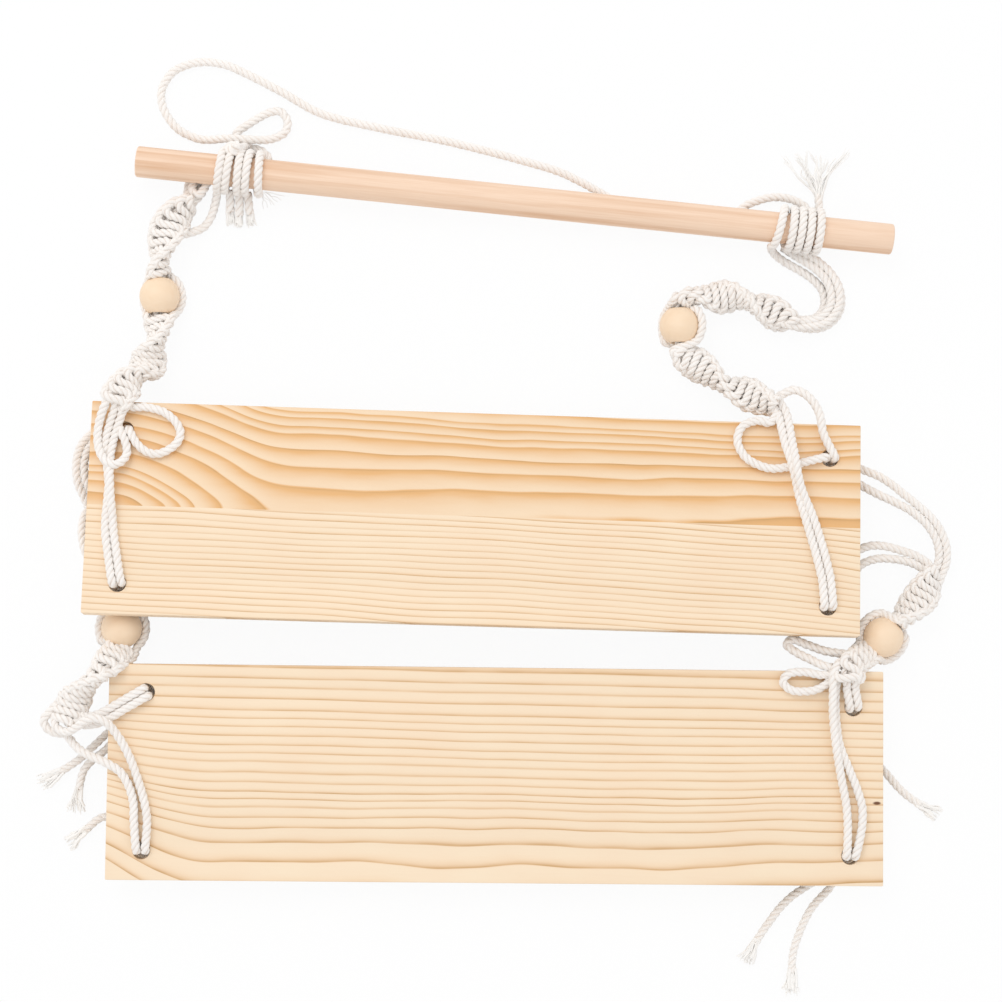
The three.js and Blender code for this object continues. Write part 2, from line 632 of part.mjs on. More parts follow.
tails('tails_upper_left', [
  [-198.4, -111.2, 5], [-207, -120.6, 3], [-216.6, -128.8, 2.7], [-231.2, -142.4, 2.7],
  [-243.6, -150.5, 2.7], [-251.6, -155.9, 2.7],
], [
  [-198, -111.5, 5], [-205.6, -124, 3], [-216, -136.4, 2.7], [-227.3, -146.7, 2.7],
  [-231, -160.3, 2.7], [-231.9, -170.6, 2.7],
]);
tails('tails_lower_left', [
  [-200.3, -182.4, 5], [-206.4, -175.6, 3], [-217.3, -173.4, 2.7], [-227.5, -180.9, 2.7],
  [-237.1, -187.4, 2.7],
], [
  [-199.8, -182.2, 5], [-195, -174, 3], [-184, -167, 2.7], [-170, -165, 2.7],
]);
tails('tails_upper_right', [
  [193.4, -122, 5], [198.4, -133, 3], [205.4, -143, 2.7], [212.7, -150.6, 2.7],
  [220.4, -159.4, 2.7], [229.7, -166.6, 2.7], [241.8, -172.6, 2.7],
], [
  [193, -122, 5], [190, -132, 3], [184, -144, 2.7], [175, -154, 2.7],
]);
tails('tails_lower_right', [
  [185, -202, 5], [177.6, -206.6, 3], [167.4, -212.3, 2.7], [156.3, -220.4, 2.7],
  [145.2, -234, 2.7], [139.1, -243.7, 2.7], [135.7, -254, 2.7],
], [
  [185.6, -202.2, 5], [183.6, -207.6, 3], [180.2, -213.4, 2.7], [171.1, -223.2, 2.7],
  [164.4, -235.6, 2.7], [159.9, -249.7, 2.7], [159.7, -270.9, 2.7],
]);

export default layout;
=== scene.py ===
import math
import random
from functools import partial

import bmesh
import bpy
from mathutils import Matrix, Vector


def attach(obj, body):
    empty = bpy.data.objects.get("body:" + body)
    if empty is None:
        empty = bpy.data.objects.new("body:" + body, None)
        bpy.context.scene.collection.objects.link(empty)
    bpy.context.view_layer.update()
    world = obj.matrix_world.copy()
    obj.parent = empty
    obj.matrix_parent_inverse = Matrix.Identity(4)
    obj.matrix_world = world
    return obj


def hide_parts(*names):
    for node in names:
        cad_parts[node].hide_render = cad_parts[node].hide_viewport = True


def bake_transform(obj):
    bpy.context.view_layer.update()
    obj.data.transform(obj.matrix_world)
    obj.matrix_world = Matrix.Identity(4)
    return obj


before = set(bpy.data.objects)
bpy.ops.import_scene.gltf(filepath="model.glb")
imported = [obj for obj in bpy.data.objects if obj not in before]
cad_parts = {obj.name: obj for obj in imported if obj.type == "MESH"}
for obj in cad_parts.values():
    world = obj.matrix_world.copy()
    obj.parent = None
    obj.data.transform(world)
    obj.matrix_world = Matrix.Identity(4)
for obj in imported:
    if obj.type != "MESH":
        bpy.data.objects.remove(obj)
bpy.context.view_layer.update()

# Measures below are millimetres in the shelf's own layout, as it lies seen from above.
layoutShift = Vector((1.9, 11.87, 0))
upAxis = Vector((0, 0, 1))
corners = ("upper_left", "upper_right", "lower_left", "lower_right")


def inFrame(point):
    # millimetres in the layout become metres in the frame
    return (Vector(point[:3]) + layoutShift) * 0.001


# Camera
photoCamera = {"height": 1311.55, "tiltX": 0.0646, "tiltY": -0.029, "lens": 85}


def addCamera():
    camera = bpy.data.cameras.new("photoCamera")
    camera.lens = photoCamera["lens"]
    camera.sensor_width = 36
    camera.clip_end = 20
    cameraObject = bpy.data.objects.new("photoCamera", camera)
    bpy.context.collection.objects.link(cameraObject)
    turn = Matrix.Rotation(photoCamera["tiltY"], 4, "Y") @ Matrix.Rotation(photoCamera["tiltX"], 4, "X")
    place = turn @ Vector((0, 0, photoCamera["height"]))
    cameraObject.matrix_world = Matrix.Translation(inFrame(place)) @ turn
    bpy.context.scene.camera = cameraObject


addCamera()
print("camera stands over the shelf")


# Materials
def nodeOf(material, kind, **settings):
    node = material.node_tree.nodes.new(kind)
    for name, value in settings.items():
        setattr(node, name, value)
    return node


def linked(material, source, target):
    material.node_tree.links.new(source, target)


def calc(material, operation, *values):
    node = nodeOf(material, "ShaderNodeMath", operation=operation)
    for socket, value in zip(node.inputs, values):
        if isinstance(value, (int, float)):
            socket.default_value = value
        else:
            linked(material, value, socket)
    return node.outputs[0]


def noiseOf(material, vector, scale, detail=2.0, roughness=0.5):
    node = nodeOf(material, "ShaderNodeTexNoise")
    node.inputs["Scale"].default_value = scale
    node.inputs["Detail"].default_value = detail
    node.inputs["Roughness"].default_value = roughness
    linked(material, vector, node.inputs["Vector"])
    return node.outputs["Fac"]


def mixColours(material, factor, first, second):
    node = nodeOf(material, "ShaderNodeMix", data_type="RGBA")
    for socket, value in ((node.inputs[0], factor), (node.inputs[6], first), (node.inputs[7], second)):
        if isinstance(value, (int, float)):
            socket.default_value = value
        elif isinstance(value, tuple):
            socket.default_value = (*value, 1)
        else:
            linked(material, value, socket)
    return node.outputs[2]


def newMaterial(name, roughness):
    material = bpy.data.materials.new(name)
    material.use_nodes = True
    shader = material.node_tree.nodes["Principled BSDF"]
    shader.inputs["Roughness"].default_value = roughness
    return material, shader


def bumped(material, shader, height, strength, distance):
    bump = nodeOf(material, "ShaderNodeBump")
    bump.inputs["Strength"].default_value = strength
    bump.inputs["Distance"].default_value = distance
    linked(material, height, bump.inputs["Height"])
    linked(material, bump.outputs["Normal"], shader.inputs["Normal"])


def objectPlace(material):
    return nodeOf(material, "ShaderNodeTexCoord").outputs["Object"]


def mapped(material, vector, location=(0, 0, 0), rotation=(0, 0, 0), scale=(1, 1, 1), kind="POINT"):
    mapping = nodeOf(material, "ShaderNodeMapping", vector_type=kind)
    for name, value in (("Location", location), ("Rotation", rotation), ("Scale", scale)):
        mapping.inputs[name].default_value = value
    linked(material, vector, mapping.inputs["Vector"])
    return mapping.outputs["Vector"]


def toolsOf(material):
    # the node makers that a finish uses most, each bound to its material
    return partial(calc, material), partial(noiseOf, material), partial(mixColours, material)


def squared(maths, value):
    return maths("MULTIPLY", value, value)


def clamped(maths, value):
    return maths("MINIMUM", maths("MAXIMUM", value, 0.0), 1.0)


def sharpened(maths, value, power, gain):
    return maths("MULTIPLY", maths("POWER", value, power), gain)


def pastMark(maths, value, mark, span=1.0):
    # nothing up to the mark, then one more for each span beyond it
    return maths("MAXIMUM", maths("DIVIDE", maths("SUBTRACT", value, mark), span), 0.0)


# Twisted cotton: fine fibres run along each strand
cotton = {
    # the third colour is painted shade, laid into the grooves between the strands
    "colour": (0.98, 0.948, 0.918), "shade": (0.92, 0.86, 0.805), "grooveShade": (0.66, 0.52, 0.42),
    "roughness": 0.95, "sheen": 0.15, "sheenRoughness": 0.5,
    "fibreScale": 3.2, "fibreDepth": 0.0003, "fibreStrength": 0.3, "patchScale": 60,
    # how steeply the shade rises out of the noise, from where, and how softly it ends
    "contrast": 2.2, "shift": -0.75, "rounding": 0.2,
}
looseCotton = {"colour": (0.99, 0.97, 0.945), "roughness": 1.0}


def cottonMaterial():
    material, shader = newMaterial("twistedCotton", cotton["roughness"])
    maths, noise, mixed = toolsOf(material)
    fibre = nodeOf(material, "ShaderNodeAttribute", attribute_name="fibre").outputs["Vector"]
    streaks = noise(fibre, cotton["fibreScale"], detail=3.0, roughness=0.6)
    patches = noise(objectPlace(material), cotton["patchScale"])
    shade = maths("MULTIPLY", maths("ADD", streaks, patches), 0.5)
    shade = maths("MULTIPLY_ADD", shade, cotton["contrast"], cotton["shift"])
    shade = maths("SMOOTH_MIN", shade, 1.0, cotton["rounding"])
    colour = mixed(shade, cotton["colour"], cotton["shade"])
    # painted shade: the grooves between the strands are darkened towards a brown grey
    grooveShade = nodeOf(material, "ShaderNodeAttribute", attribute_name="grooveShade").outputs["Fac"]
    colour = mixed(grooveShade, colour, cotton["grooveShade"])
    linked(material, colour, shader.inputs["Base Color"])
    shader.inputs["Sheen Weight"].default_value = cotton["sheen"]
    shader.inputs["Sheen Roughness"].default_value = cotton["sheenRoughness"]
    bumped(material, shader, streaks, cotton["fibreStrength"], cotton["fibreDepth"])
    return material


def looseCottonMaterial():
    material, shader = newMaterial("looseCotton", looseCotton["roughness"])
    shader.inputs["Base Color"].default_value = (*looseCotton["colour"], 1)
    shader.inputs["Specular IOR Level"].default_value = 0
    return material


cottonFinish = cottonMaterial()
looseFinish = looseCottonMaterial()

# Cord making
cordDiameter = 4.8
ropeLay = 11.0
# the height of a lying cord's middle line
lyingHeight = 2.45
strandMake = {
    # shares of the cord's diameter: from its middle out to a strand's middle, and to a strand's far side
    "centre": 0.232, "outer": 0.512,
    # how fast the pattern of fibres turns round a strand and runs along it, for each metre
    "yarnTurn": 670.0, "fibreRun": 90.0,
    # a point nearer to the cord's middle than this share of its radius lies in a groove
    "grooveFrom": 0.86, "grooveRise": 3.2,
}


def curvePoints(points, step=1.0):
    # a centripetal curve through the points, cut into even steps
    route = [Vector(point[:3]) for point in points]
    route = [2 * route[0] - route[1], *route, 2 * route[-1] - route[-2]]
    fine = []
    for index in range(1, len(route) - 2):
        before, first, second, after = route[index - 1:index + 3]
        marks = [0.0]
        for start, end in ((before, first), (first, second), (second, after)):
            marks.append(marks[-1] + max((end - start).length, 1e-4) ** 0.5)
        count = max(3, round((second - first).length / step * 2))
        for share in range(count):
            mark = marks[1] + (marks[2] - marks[1]) * share / count
            low = before.lerp(first, (mark - marks[0]) / (marks[1] - marks[0]))
            middle = first.lerp(second, (mark - marks[1]) / (marks[2] - marks[1]))
            high = second.lerp(after, (mark - marks[2]) / (marks[3] - marks[2]))
            left = low.lerp(middle, (mark - marks[0]) / (marks[2] - marks[0]))
            right = middle.lerp(high, (mark - marks[1]) / (marks[3] - marks[1]))
            fine.append(left.lerp(right, (mark - marks[1]) / (marks[2] - marks[1])))
    fine.append(route[-2])
    return fine


def reachedLengths(points):
    lengths = [0.0]
    for start, end in zip(points, points[1:]):
        lengths.append(lengths[-1] + (end - start).length)
    return lengths


def beside(points, offset):
    # the same path moved sideways on the level
    moved = []
    for index, point in enumerate(points):
        along = points[min(index + 1, len(points) - 1)] - points[max(index - 1, 0)]
        moved.append(point + upAxis.cross(along).normalized() * offset)
    return moved


def resting(points, radius):
    # keeps a cord's middle line clear of the surface that it lies on
    return [Vector((point.x, point.y, max(point.z, radius))) for point in points]


def twistedCordTree():
    tree = bpy.data.node_groups.new("twistedCord", "GeometryNodeTree")
    face = tree.interface
    face.new_socket("Path", in_out="INPUT", socket_type="NodeSocketGeometry")
    for name in ("Diameter", "Lay", "Step"):
        face.new_socket(name, in_out="INPUT", socket_type="NodeSocketFloat")
    for name in ("Strands", "Sides"):
        face.new_socket(name, in_out="INPUT", socket_type="NodeSocketInt")
    face.new_socket("Finish", in_out="INPUT", socket_type="NodeSocketMaterial")
    face.new_socket("Cord", in_out="OUTPUT", socket_type="NodeSocketGeometry")
    nodes, links = tree.nodes, tree.links
    inputs = nodes.new("NodeGroupInput").outputs
    output = nodes.new("NodeGroupOutput")

    def node(kind, sources=None, **settings):
        made = nodes.new(kind)
        for name, value in settings.items():
            setattr(made, name, value)
        for name, source in (sources or {}).items():
            links.new(source, made.inputs[name])
        return made

    def maths(operation, *values):
        made = node("ShaderNodeMath", operation=operation)
        for socket, value in zip(made.inputs, values):
            if isinstance(value, (int, float)):
                socket.default_value = value
            else:
                links.new(value, socket)
        return made.outputs[0]

    def vectors(operation, first, second):
        return node("ShaderNodeVectorMath", {0: first, 1: second}, operation=operation).outputs

    def scaled(vector, factor):
        return node("ShaderNodeVectorMath", {0: vector, "Scale": factor}, operation="SCALE").outputs[0]

    def captured(geometry, kind, name, value):
        made = node("GeometryNodeCaptureAttribute", domain="POINT")
        made.capture_items.new(kind, name)
        links.new(geometry, made.inputs["Geometry"])
        links.new(value, made.inputs[name])
        return made.outputs

    def stored(geometry, kind, name, value):
        made = node("GeometryNodeStoreNamedAttribute", data_type=kind, domain="POINT")
        made.inputs["Name"].default_value = name
        links.new(geometry, made.inputs["Geometry"])
        links.new(value, made.inputs["Value"])
        return made.outputs["Geometry"]

    position = node("GeometryNodeInputPosition").outputs["Position"]
    spline = node("GeometryNodeSplineParameter").outputs
    even = node("GeometryNodeResampleCurve", {
        "Curve": inputs["Path"], "Length": inputs["Step"],
    }, mode="LENGTH")
    strands = node("GeometryNodeDuplicateElements", {
        "Geometry": even.outputs["Curve"], "Amount": inputs["Strands"],
    }, domain="SPLINE").outputs

    # three soft strands pressed into each other, or one alone on the middle line
    several = maths("GREATER_THAN", inputs["Strands"], 1.5)
    reach = maths("MULTIPLY", inputs["Diameter"], maths("MULTIPLY", several, strandMake["centre"]))
    strandRadius = maths("SUBTRACT", maths("MULTIPLY", inputs["Diameter"], strandMake["outer"]), reach)
    turn = maths("DIVIDE", maths("MULTIPLY", spline["Length"], 2 * math.pi), inputs["Lay"])
    share = maths("DIVIDE", strands["Duplicate Index"], inputs["Strands"])
    angle = maths("MULTIPLY_ADD", share, 2 * math.pi, turn)
    normal = node("GeometryNodeInputNormal").outputs["Normal"]
    tangent = node("GeometryNodeInputTangent").outputs["Tangent"]
    side = vectors("CROSS_PRODUCT", tangent, normal)[0]
    out = vectors("ADD", scaled(normal, maths("COSINE", angle)), scaled(side, maths("SINE", angle)))[0]
    middle = captured(strands["Geometry"], "VECTOR", "Middle", position)
    placed = node("GeometryNodeSetPosition", {"Geometry": middle["Geometry"], "Offset": scaled(out, reach)})

    along = captured(placed.outputs["Geometry"], "FLOAT", "Along", spline["Length"])
    ring = node("GeometryNodeCurvePrimitiveCircle", {
        "Resolution": inputs["Sides"], "Radius": strandRadius,
    }, mode="RADIUS")
    around = captured(ring.outputs["Curve"], "FLOAT", "Around", spline["Factor"])
    tube = node("GeometryNodeCurveToMesh", {"Curve": along["Geometry"], "Profile Curve": around["Geometry"]})
    tube.inputs["Fill Caps"].default_value = True

    # the yarns turn against the strands
    yarnTurn = maths("MULTIPLY", along["Along"], strandMake["yarnTurn"])
    fibreAngle = maths("MULTIPLY_ADD", around["Around"], 2 * math.pi, yarnTurn)
    fibre = node("ShaderNodeCombineXYZ", {
        "X": maths("COSINE", fibreAngle), "Y": maths("SINE", fibreAngle),
        "Z": maths("MULTIPLY", along["Along"], strandMake["fibreRun"]),
    })
    mesh = stored(tube.outputs["Mesh"], "FLOAT_VECTOR", "fibre", fibre.outputs["Vector"])
    # how deep each point lies between the strands; deeper points get more painted shade
    apart = vectors("DISTANCE", position, middle["Middle"])["Value"]
    share = maths("DIVIDE", apart, maths("MULTIPLY", inputs["Diameter"], 0.5))
    deep = maths("MULTIPLY", maths("SUBTRACT", strandMake["grooveFrom"], share), strandMake["grooveRise"])
    mesh = stored(mesh, "FLOAT", "grooveShade", maths("MULTIPLY", clamped(maths, deep), several))
    smooth = node("GeometryNodeSetShadeSmooth", {"Geometry": mesh})
    whole = node("GeometryNodeRealizeInstances", {"Geometry": smooth.outputs["Geometry"]})
    finish = node("GeometryNodeSetMaterial", {
        "Geometry": whole.outputs["Geometry"], "Material": inputs["Finish"],
    })
    links.new(finish.outputs["Geometry"], output.inputs["Cord"])
    return tree


cordTree = twistedCordTree()


def cordMesh(
    name, paths, diameter=cordDiameter, lay=ropeLay, strands=3, sides=7, step=0.85, finish=cottonFinish,
):
    # dense millimetre paths in, a mesh of twisted strands out
    curve = bpy.data.curves.new(name + "Path", "CURVE")
    curve.dimensions = "3D"
    for path in paths:
        spline = curve.splines.new("POLY")
        spline.points.add(len(path) - 1)
        for target, point in zip(spline.points, path):
            target.co = (*inFrame(point), 1)
    pathObject = bpy.data.objects.new(name + "Path", curve)
    bpy.context.collection.objects.link(pathObject)
    modifier = pathObject.modifiers.new("twistedCord", "NODES")
    modifier.node_group = cordTree
    values = {
        "Diameter": diameter * 0.001, "Lay": lay * 0.001, "Step": step * 0.001,
        "Strands": strands, "Sides": sides, "Finish": finish,
    }
    for item in cordTree.interface.items_tree:
        if item.in_out == "INPUT" and item.name in values:
            modifier[item.identifier] = values[item.name]
    depsgraph = bpy.context.evaluated_depsgraph_get()
    mesh = bpy.data.meshes.new_from_object(pathObject.evaluated_get(depsgraph), depsgraph=depsgraph)
    bpy.data.objects.remove(pathObject)
    bpy.data.curves.remove(curve)
    return mesh


def addPiece(name, mesh, body, nodes=()):
    mesh.name = name
    piece = bpy.data.objects.new(name, mesh)
    bpy.context.collection.objects.link(piece)
    if body:
        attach(piece, body)
    if nodes:
        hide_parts(*nodes)
    return piece


def joinedMesh(name, meshes):
    objects = []
    for mesh in meshes:
        part = bpy.data.objects.new(name, mesh)
        bpy.context.collection.objects.link(part)
        objects.append(part)
    with bpy.context.temp_override(
        active_object=objects[0], selected_editable_objects=objects, selected_objects=objects,
    ):
        bpy.ops.object.join()
    mesh = objects[0].data
    bpy.data.objects.remove(objects[0])
    return mesh


# A frayed end: wavy locks of fibres that leave the cord's last point and spread
fray = {
    "locks": 11, "fibres": 2, "fibreDiameter": 0.55, "waver": 0.6, "lockWidth": 0.6,
    "yarns": 8, "yarnDiameter": 1.5, "yarnReach": 0.82, "yarnSpread": 0.8,
    # half the width of the roots, how far inside the cord they start, and the lowest height of a fibre
    "rootWidth": 1.7, "rootDepth": 2.0, "lowest": 0.25,
    # how much one lock differs from the next
    "lockFan": 0.25, "lockLengths": (0.78, 1.0), "lockHeight": 1.4,
    # how much one fibre differs from the next in its lock
    "fibreRoot": 0.5, "fibreLengths": (0.8, 1.0), "fibreHeight": 0.7, "looseGrowth": 0.06,
    # the waves of a lock, and the finer ones of each fibre sideways and in height, as angles and sizes
    "phases": (0, 6), "waves": 6.5, "fineWaves": 11, "fineWaver": 0.25, "heightWaves": 5, "heightWaver": 0.3,
    # how late the fibres fan out, and how much of their height they lose on the way
    "fanPower": 1.3, "settling": 0.4,
    "points": 8, "fineStep": 1.4,
}


def frayPaths(
    tip, along, length, spread, seed, locks=fray["locks"], fibres=fray["fibres"], waver=fray["waver"],
):
    chance = random.Random(seed)

    def scattered(most):
        return chance.uniform(-most, most)

    tip, along = Vector(tip), Vector(along).normalized()
    level = upAxis.cross(along).normalized()
    paths = []
    for lock in range(locks):
        place = (lock + 0.5) / locks * 2 - 1
        lockFan = place * spread + scattered(fray["lockFan"]) * spread
        lockLength = length * chance.uniform(*fray["lockLengths"])
        phase, height = chance.uniform(*fray["phases"]), scattered(fray["lockHeight"])
        for fibre in range(fibres):
            sideways = place * fray["rootWidth"] + scattered(fray["fibreRoot"])
            upwards = height + scattered(fray["fibreHeight"])
            loose = scattered(1) * fray["lockWidth"] * (1 + spread * fray["looseGrowth"])
            reachOut = lockLength * chance.uniform(*fray["fibreLengths"])
            twist = chance.uniform(*fray["phases"])
            path = []
            for step in range(fray["points"]):
                share = step / (fray["points"] - 1)
                sway = math.sin(phase + share * fray["waves"]) * waver * share
                sway += math.sin(twist + share * fray["fineWaves"]) * fray["fineWaver"] * share
                fan = lockFan * share ** fray["fanPower"] + loose * share
                ahead = reachOut * share - fray["rootDepth"] * (1 - share)
                point = tip + along * ahead + level * (sideways * (1 - share) + fan + sway)
                bob = math.cos(twist + share * fray["heightWaves"]) * fray["heightWaver"] * share
                point.z = tip.z + upwards * (1 - fray["settling"] * share) + bob
                point.z = max(point.z + along.z * reachOut * share, fray["lowest"])
                path.append(point)
            paths.append(curvePoints(path, fray["fineStep"]))
    return paths


def looseMesh(name, paths, diameter, sides):
    return cordMesh(name, paths, diameter, strands=1, sides=sides, step=1.2, finish=looseFinish)


def frayMesh(
    name, tip, along, length, spread, seed, fibreDiameter=fray["fibreDiameter"],
    yarnDiameter=fray["yarnDiameter"], waver=fray["waver"], **locks,
):
    # fine fibres over thicker yarns that stop short of them
    fine = frayPaths(tip, along, length, spread, seed, waver=waver, **locks)
    shorter, narrower = length * fray["yarnReach"], spread * fray["yarnSpread"]
    yarns = frayPaths(tip, along, shorter, narrower, seed + 1, fray["yarns"], 1, waver)
    return joinedMesh(name, [
        looseMesh("fibres", fine, fibreDiameter, 6), looseMesh("yarns", yarns, yarnDiameter, 8),
    ])


# The cord that the shelf hangs by, lying slack
hangingCord = {
    "route": [
        (-129.9, 185.3, 2.8), (-129.6, 190.8, 2.7), (-134, 195.2, 2.7), (-141, 196.8, 2.7),
        (-147.4, 199.4, 2.7), (-147.2, 205, 2.7), (-140.6, 210, 2.7), (-129.9, 216.3, 2.7),
        (-123.2, 217.2, 2.7), (-119.2, 211.9, 2.7), (-120.5, 205.5, 2.9), (-128.7, 201, 4.8),
        (-138, 200, 8.4), (-147.5, 200.4, 9.2), (-155.5, 200.8, 6.8), (-163, 200.8, 3.8), (-170, 202, 2.7),
        (-180.5, 207.5, 2.7), (-188.4, 219.3, 2.7), (-189, 229.4, 2.7), (-183, 239.1, 2.7),
        (-173.6, 243.7, 2.7), (-165.3, 244.9, 2.7), (-153.6, 243.3, 2.7), (-141.8, 238.2, 2.7),
        (-122.3, 228.2, 2.7), (-101.1, 216.5, 2.7), (-67.6, 208.2, 2.7), (-28.6, 200.6, 2.7),
        (10.5, 190.7, 2.7), (32.9, 184, 2.7), (45.7, 177.9, 2.7), (55.8, 172.3, 2.7),
        (68, 165.5, 2.7), (85, 160.8, 2.7), (105, 157.6, 2.7), (121, 158.3, 2.7),
        (130.8, 161.6, 2.7), (139.7, 167, 2.7), (153.6, 170.6, 2.7), (164.5, 168.6, 2.7),
        (170.8, 164.4, 2.7), (172.2, 160.6, 2.7),
    ],
}


def addHangingCord():
    path = curvePoints(hangingCord["route"])
    piece = addPiece("hangingCord", cordMesh("hangingCord", [path]), "upper_straps", ["hanging_cord"])
    tuple(inFrame(path[0]))
    reachedLengths(path)[-1] * 0.001
    [tuple(inFrame(point)) for point in path[:-2:3] + [path[-1]]]


addHangingCord()
print("hanging cord laid")

# Tails: the cord ends below the lower board's knots
tailRoutes = {
    "upper_left": [
        [(-198.4, -111.2, 5), (-207, -120.6, 3), (-216.6, -128.8, 2.7), (-231.2, -142.4, 2.7),
         (-243.6, -150.5, 2.7), (-251.6, -155.9, 2.7)],
        [(-198, -111.5, 5), (-205.6, -124, 3), (-216, -136.4, 2.7), (-227.3, -146.7, 2.7),
         (-231, -160.3, 2.7), (-231.9, -170.6, 2.7)],
    ],
    "lower_left": [
        [(-200.3, -182.4, 5), (-206.4, -175.6, 3), (-217.3, -173.4, 2.7), (-227.5, -180.9, 2.7),
         (-237.1, -187.4, 2.7)],
        [(-199.8, -182.2, 5), (-195, -174, 3), (-184, -167, 2.7), (-170, -165, 2.7)],
    ],
    "upper_right": [
        [(193.4, -122, 5), (198.4, -133, 3), (205.4, -143, 2.7), (212.7, -150.6, 2.7),
         (220.4, -159.4, 2.7), (229.7, -166.6, 2.7), (241.8, -172.6, 2.7)],
        [(193, -122, 5), (190, -132, 3), (184, -144, 2.7), (175, -154, 2.7)],
    ],
    "lower_right": [
        [(185, -202, 5), (177.6, -206.6, 3), (167.4, -212.3, 2.7), (156.3, -220.4, 2.7),
         (145.2, -234, 2.7), (139.1, -243.7, 2.7), (135.7, -254, 2.7)],
        [(185.6, -202.2, 5), (183.6, -207.6, 3), (180.2, -213.4, 2.7), (171.1, -223.2, 2.7),
         (164.4, -235.6, 2.7), (159.9, -249.7, 2.7), (159.7, -270.9, 2.7)],
    ],
}
tailFray = {"length": 14, "spread": 4.6, "untwisted": 12, "leastWhole": 30.8, "diameter": 4.5}


def addTail(corner, index, route):
    path = curvePoints(route)
    lengths = reachedLengths(path)
    # the last few millimetres are untwisted, fewer of them on a short tail
    untwisted = min(tailFray["untwisted"], lengths[-1] - tailFray["leastWhole"])
    kept = [point for point, reached in zip(path, lengths) if reached < lengths[-1] - untwisted]
    name = f"{corner}_tail_{'ab'[index]}"
    looseEnd = addPiece(
        name + "_frayed", frayMesh(
            name + "Frayed", kept[-1], kept[-1] - kept[-4], tailFray["length"], tailFray["spread"],
            len(name) + index * 7 + corners.index(corner),
        ), "lower_shelf",
    )
    tail = addPiece(name, cordMesh(name, [kept], tailFray["diameter"]), "lower_shelf", ["tails_" + corner])
    tuple(inFrame(path[0]))
    reachedLengths(kept)[-1] * 0.001
    [tuple(inFrame(point)) for point in kept[:-1:2] + [kept[-1]]]


for corner, routes in tailRoutes.items():
    for index, route in enumerate(routes):
        addTail(corner, index, route)
print("tails laid")

# Boards
boards = {
    "length": 420, "depth": 116, "thickness": 10, "corner": 0.7, "hole": 9.6, "bevel": 0.45, "sharp": 35,
    # each board has its place, its holes' distances from the end and the side, and its knots' heights
    "upper": {
        "at": (-14.8, -11.1, 27.5), "turn": -1.7, "tilt": -5.35,
        "insets": {
            "upper_left": (18.6, 15.7), "upper_right": (16.9, 18.6),
            "lower_left": (18.7, 16.7), "lower_right": (17.6, 15.6),
        },
        "knots": {"upper_left": 12.7, "upper_right": 12.7, "lower_left": 9.2, "lower_right": 12.7},
    },
    "lower": {
        "at": (-2.8, -150, 22.3), "turn": -0.64, "tilt": 0,
        "insets": {
            "upper_left": (19.9, 15.4), "upper_right": (16.4, 19.5),
            "lower_left": (19.1, 16), "lower_right": (18, 16.3),
        },
        "knots": {"upper_left": 12, "upper_right": 12, "lower_left": 12, "lower_right": 12},
    },
}
cornerSigns = {"upper_left": (-1, 1), "upper_right": (1, 1), "lower_left": (-1, -1), "lower_right": (1, -1)}


def boardTurn(board):
    turn = Matrix.Rotation(math.radians(board["turn"]), 4, "Z")
    return turn @ Matrix.Rotation(math.radians(board["tilt"]), 4, "X")


def onBoard(board, point):
    return boardTurn(board) @ Vector(point) + Vector(board["at"])


def holeCentre(board, corner):
    endSign, sideSign = cornerSigns[corner]
    endInset, sideInset = board["insets"][corner]
    return Vector((
        endSign * (boards["length"] / 2 - endInset), sideSign * (boards["depth"] / 2 - sideInset), 0,
    ))


def arcPoints(centre, radius, start, turn, count):
    # points of a level arc, with its start and the turn between two points in degrees
    angles = [math.radians(start + turn * number) for number in range(count)]
    return [centre + Vector((math.cos(angle), math.sin(angle))) * radius for angle in angles]


def boardMesh(name, board):
    curve = bpy.data.curves.new(name, "CURVE")
    curve.dimensions = "2D"
    curve.fill_mode = "BOTH"
    innerHalf = (boards["length"] / 2 - boards["corner"], boards["depth"] / 2 - boards["corner"])
    outline = []
    for number, (signX, signY) in enumerate(((1, 1), (-1, 1), (-1, -1), (1, -1))):
        centre = Vector((signX * innerHalf[0], signY * innerHalf[1]))
        outline += arcPoints(centre, boards["corner"], 90 * number, 22.5, 5)
    holes = [arcPoints(holeCentre(board, corner).xy, boards["hole"] / 2, 0, 9, 40) for corner in corners]
    for loop in [outline, *holes]:
        spline = curve.splines.new("POLY")
        spline.use_cyclic_u = True
        spline.points.add(len(loop) - 1)
        for target, point in zip(spline.points, loop):
            target.co = (point.x, point.y, 0, 1)
    curve.extrude = boards["thickness"] / 2 - boards["bevel"]
    curve.bevel_depth = boards["bevel"]
    curve.bevel_resolution = 2
    curve.offset = -boards["bevel"]
    flat = bpy.data.objects.new(name, curve)
    bpy.context.collection.objects.link(flat)
    depsgraph = bpy.context.evaluated_depsgraph_get()
    mesh = bpy.data.meshes.new_from_object(flat.evaluated_get(depsgraph), depsgraph=depsgraph)
    bpy.data.objects.remove(flat)
    work = bmesh.new()
    work.from_mesh(mesh)
    bmesh.ops.remove_doubles(work, verts=work.verts, dist=0.001)
    bmesh.ops.recalc_face_normals(work, faces=work.faces)
    for vertex in work.verts:
        lowered = vertex.co - Vector((0, 0, boards["thickness"] / 2))
        vertex.co = inFrame(onBoard(board, lowered))
    work.to_mesh(mesh)
    work.free()
    return mesh


# Pine: soft bands of late wood that end in sharp lines
pineColours = {
    "pale": (0.96, 0.815, 0.615), "rosy": (0.935, 0.735, 0.54), "band": (0.82, 0.475, 0.205),
    "line": (0.53, 0.30, 0.115), "knot": (0.17, 0.07, 0.03), "roughness": 0.6,
}
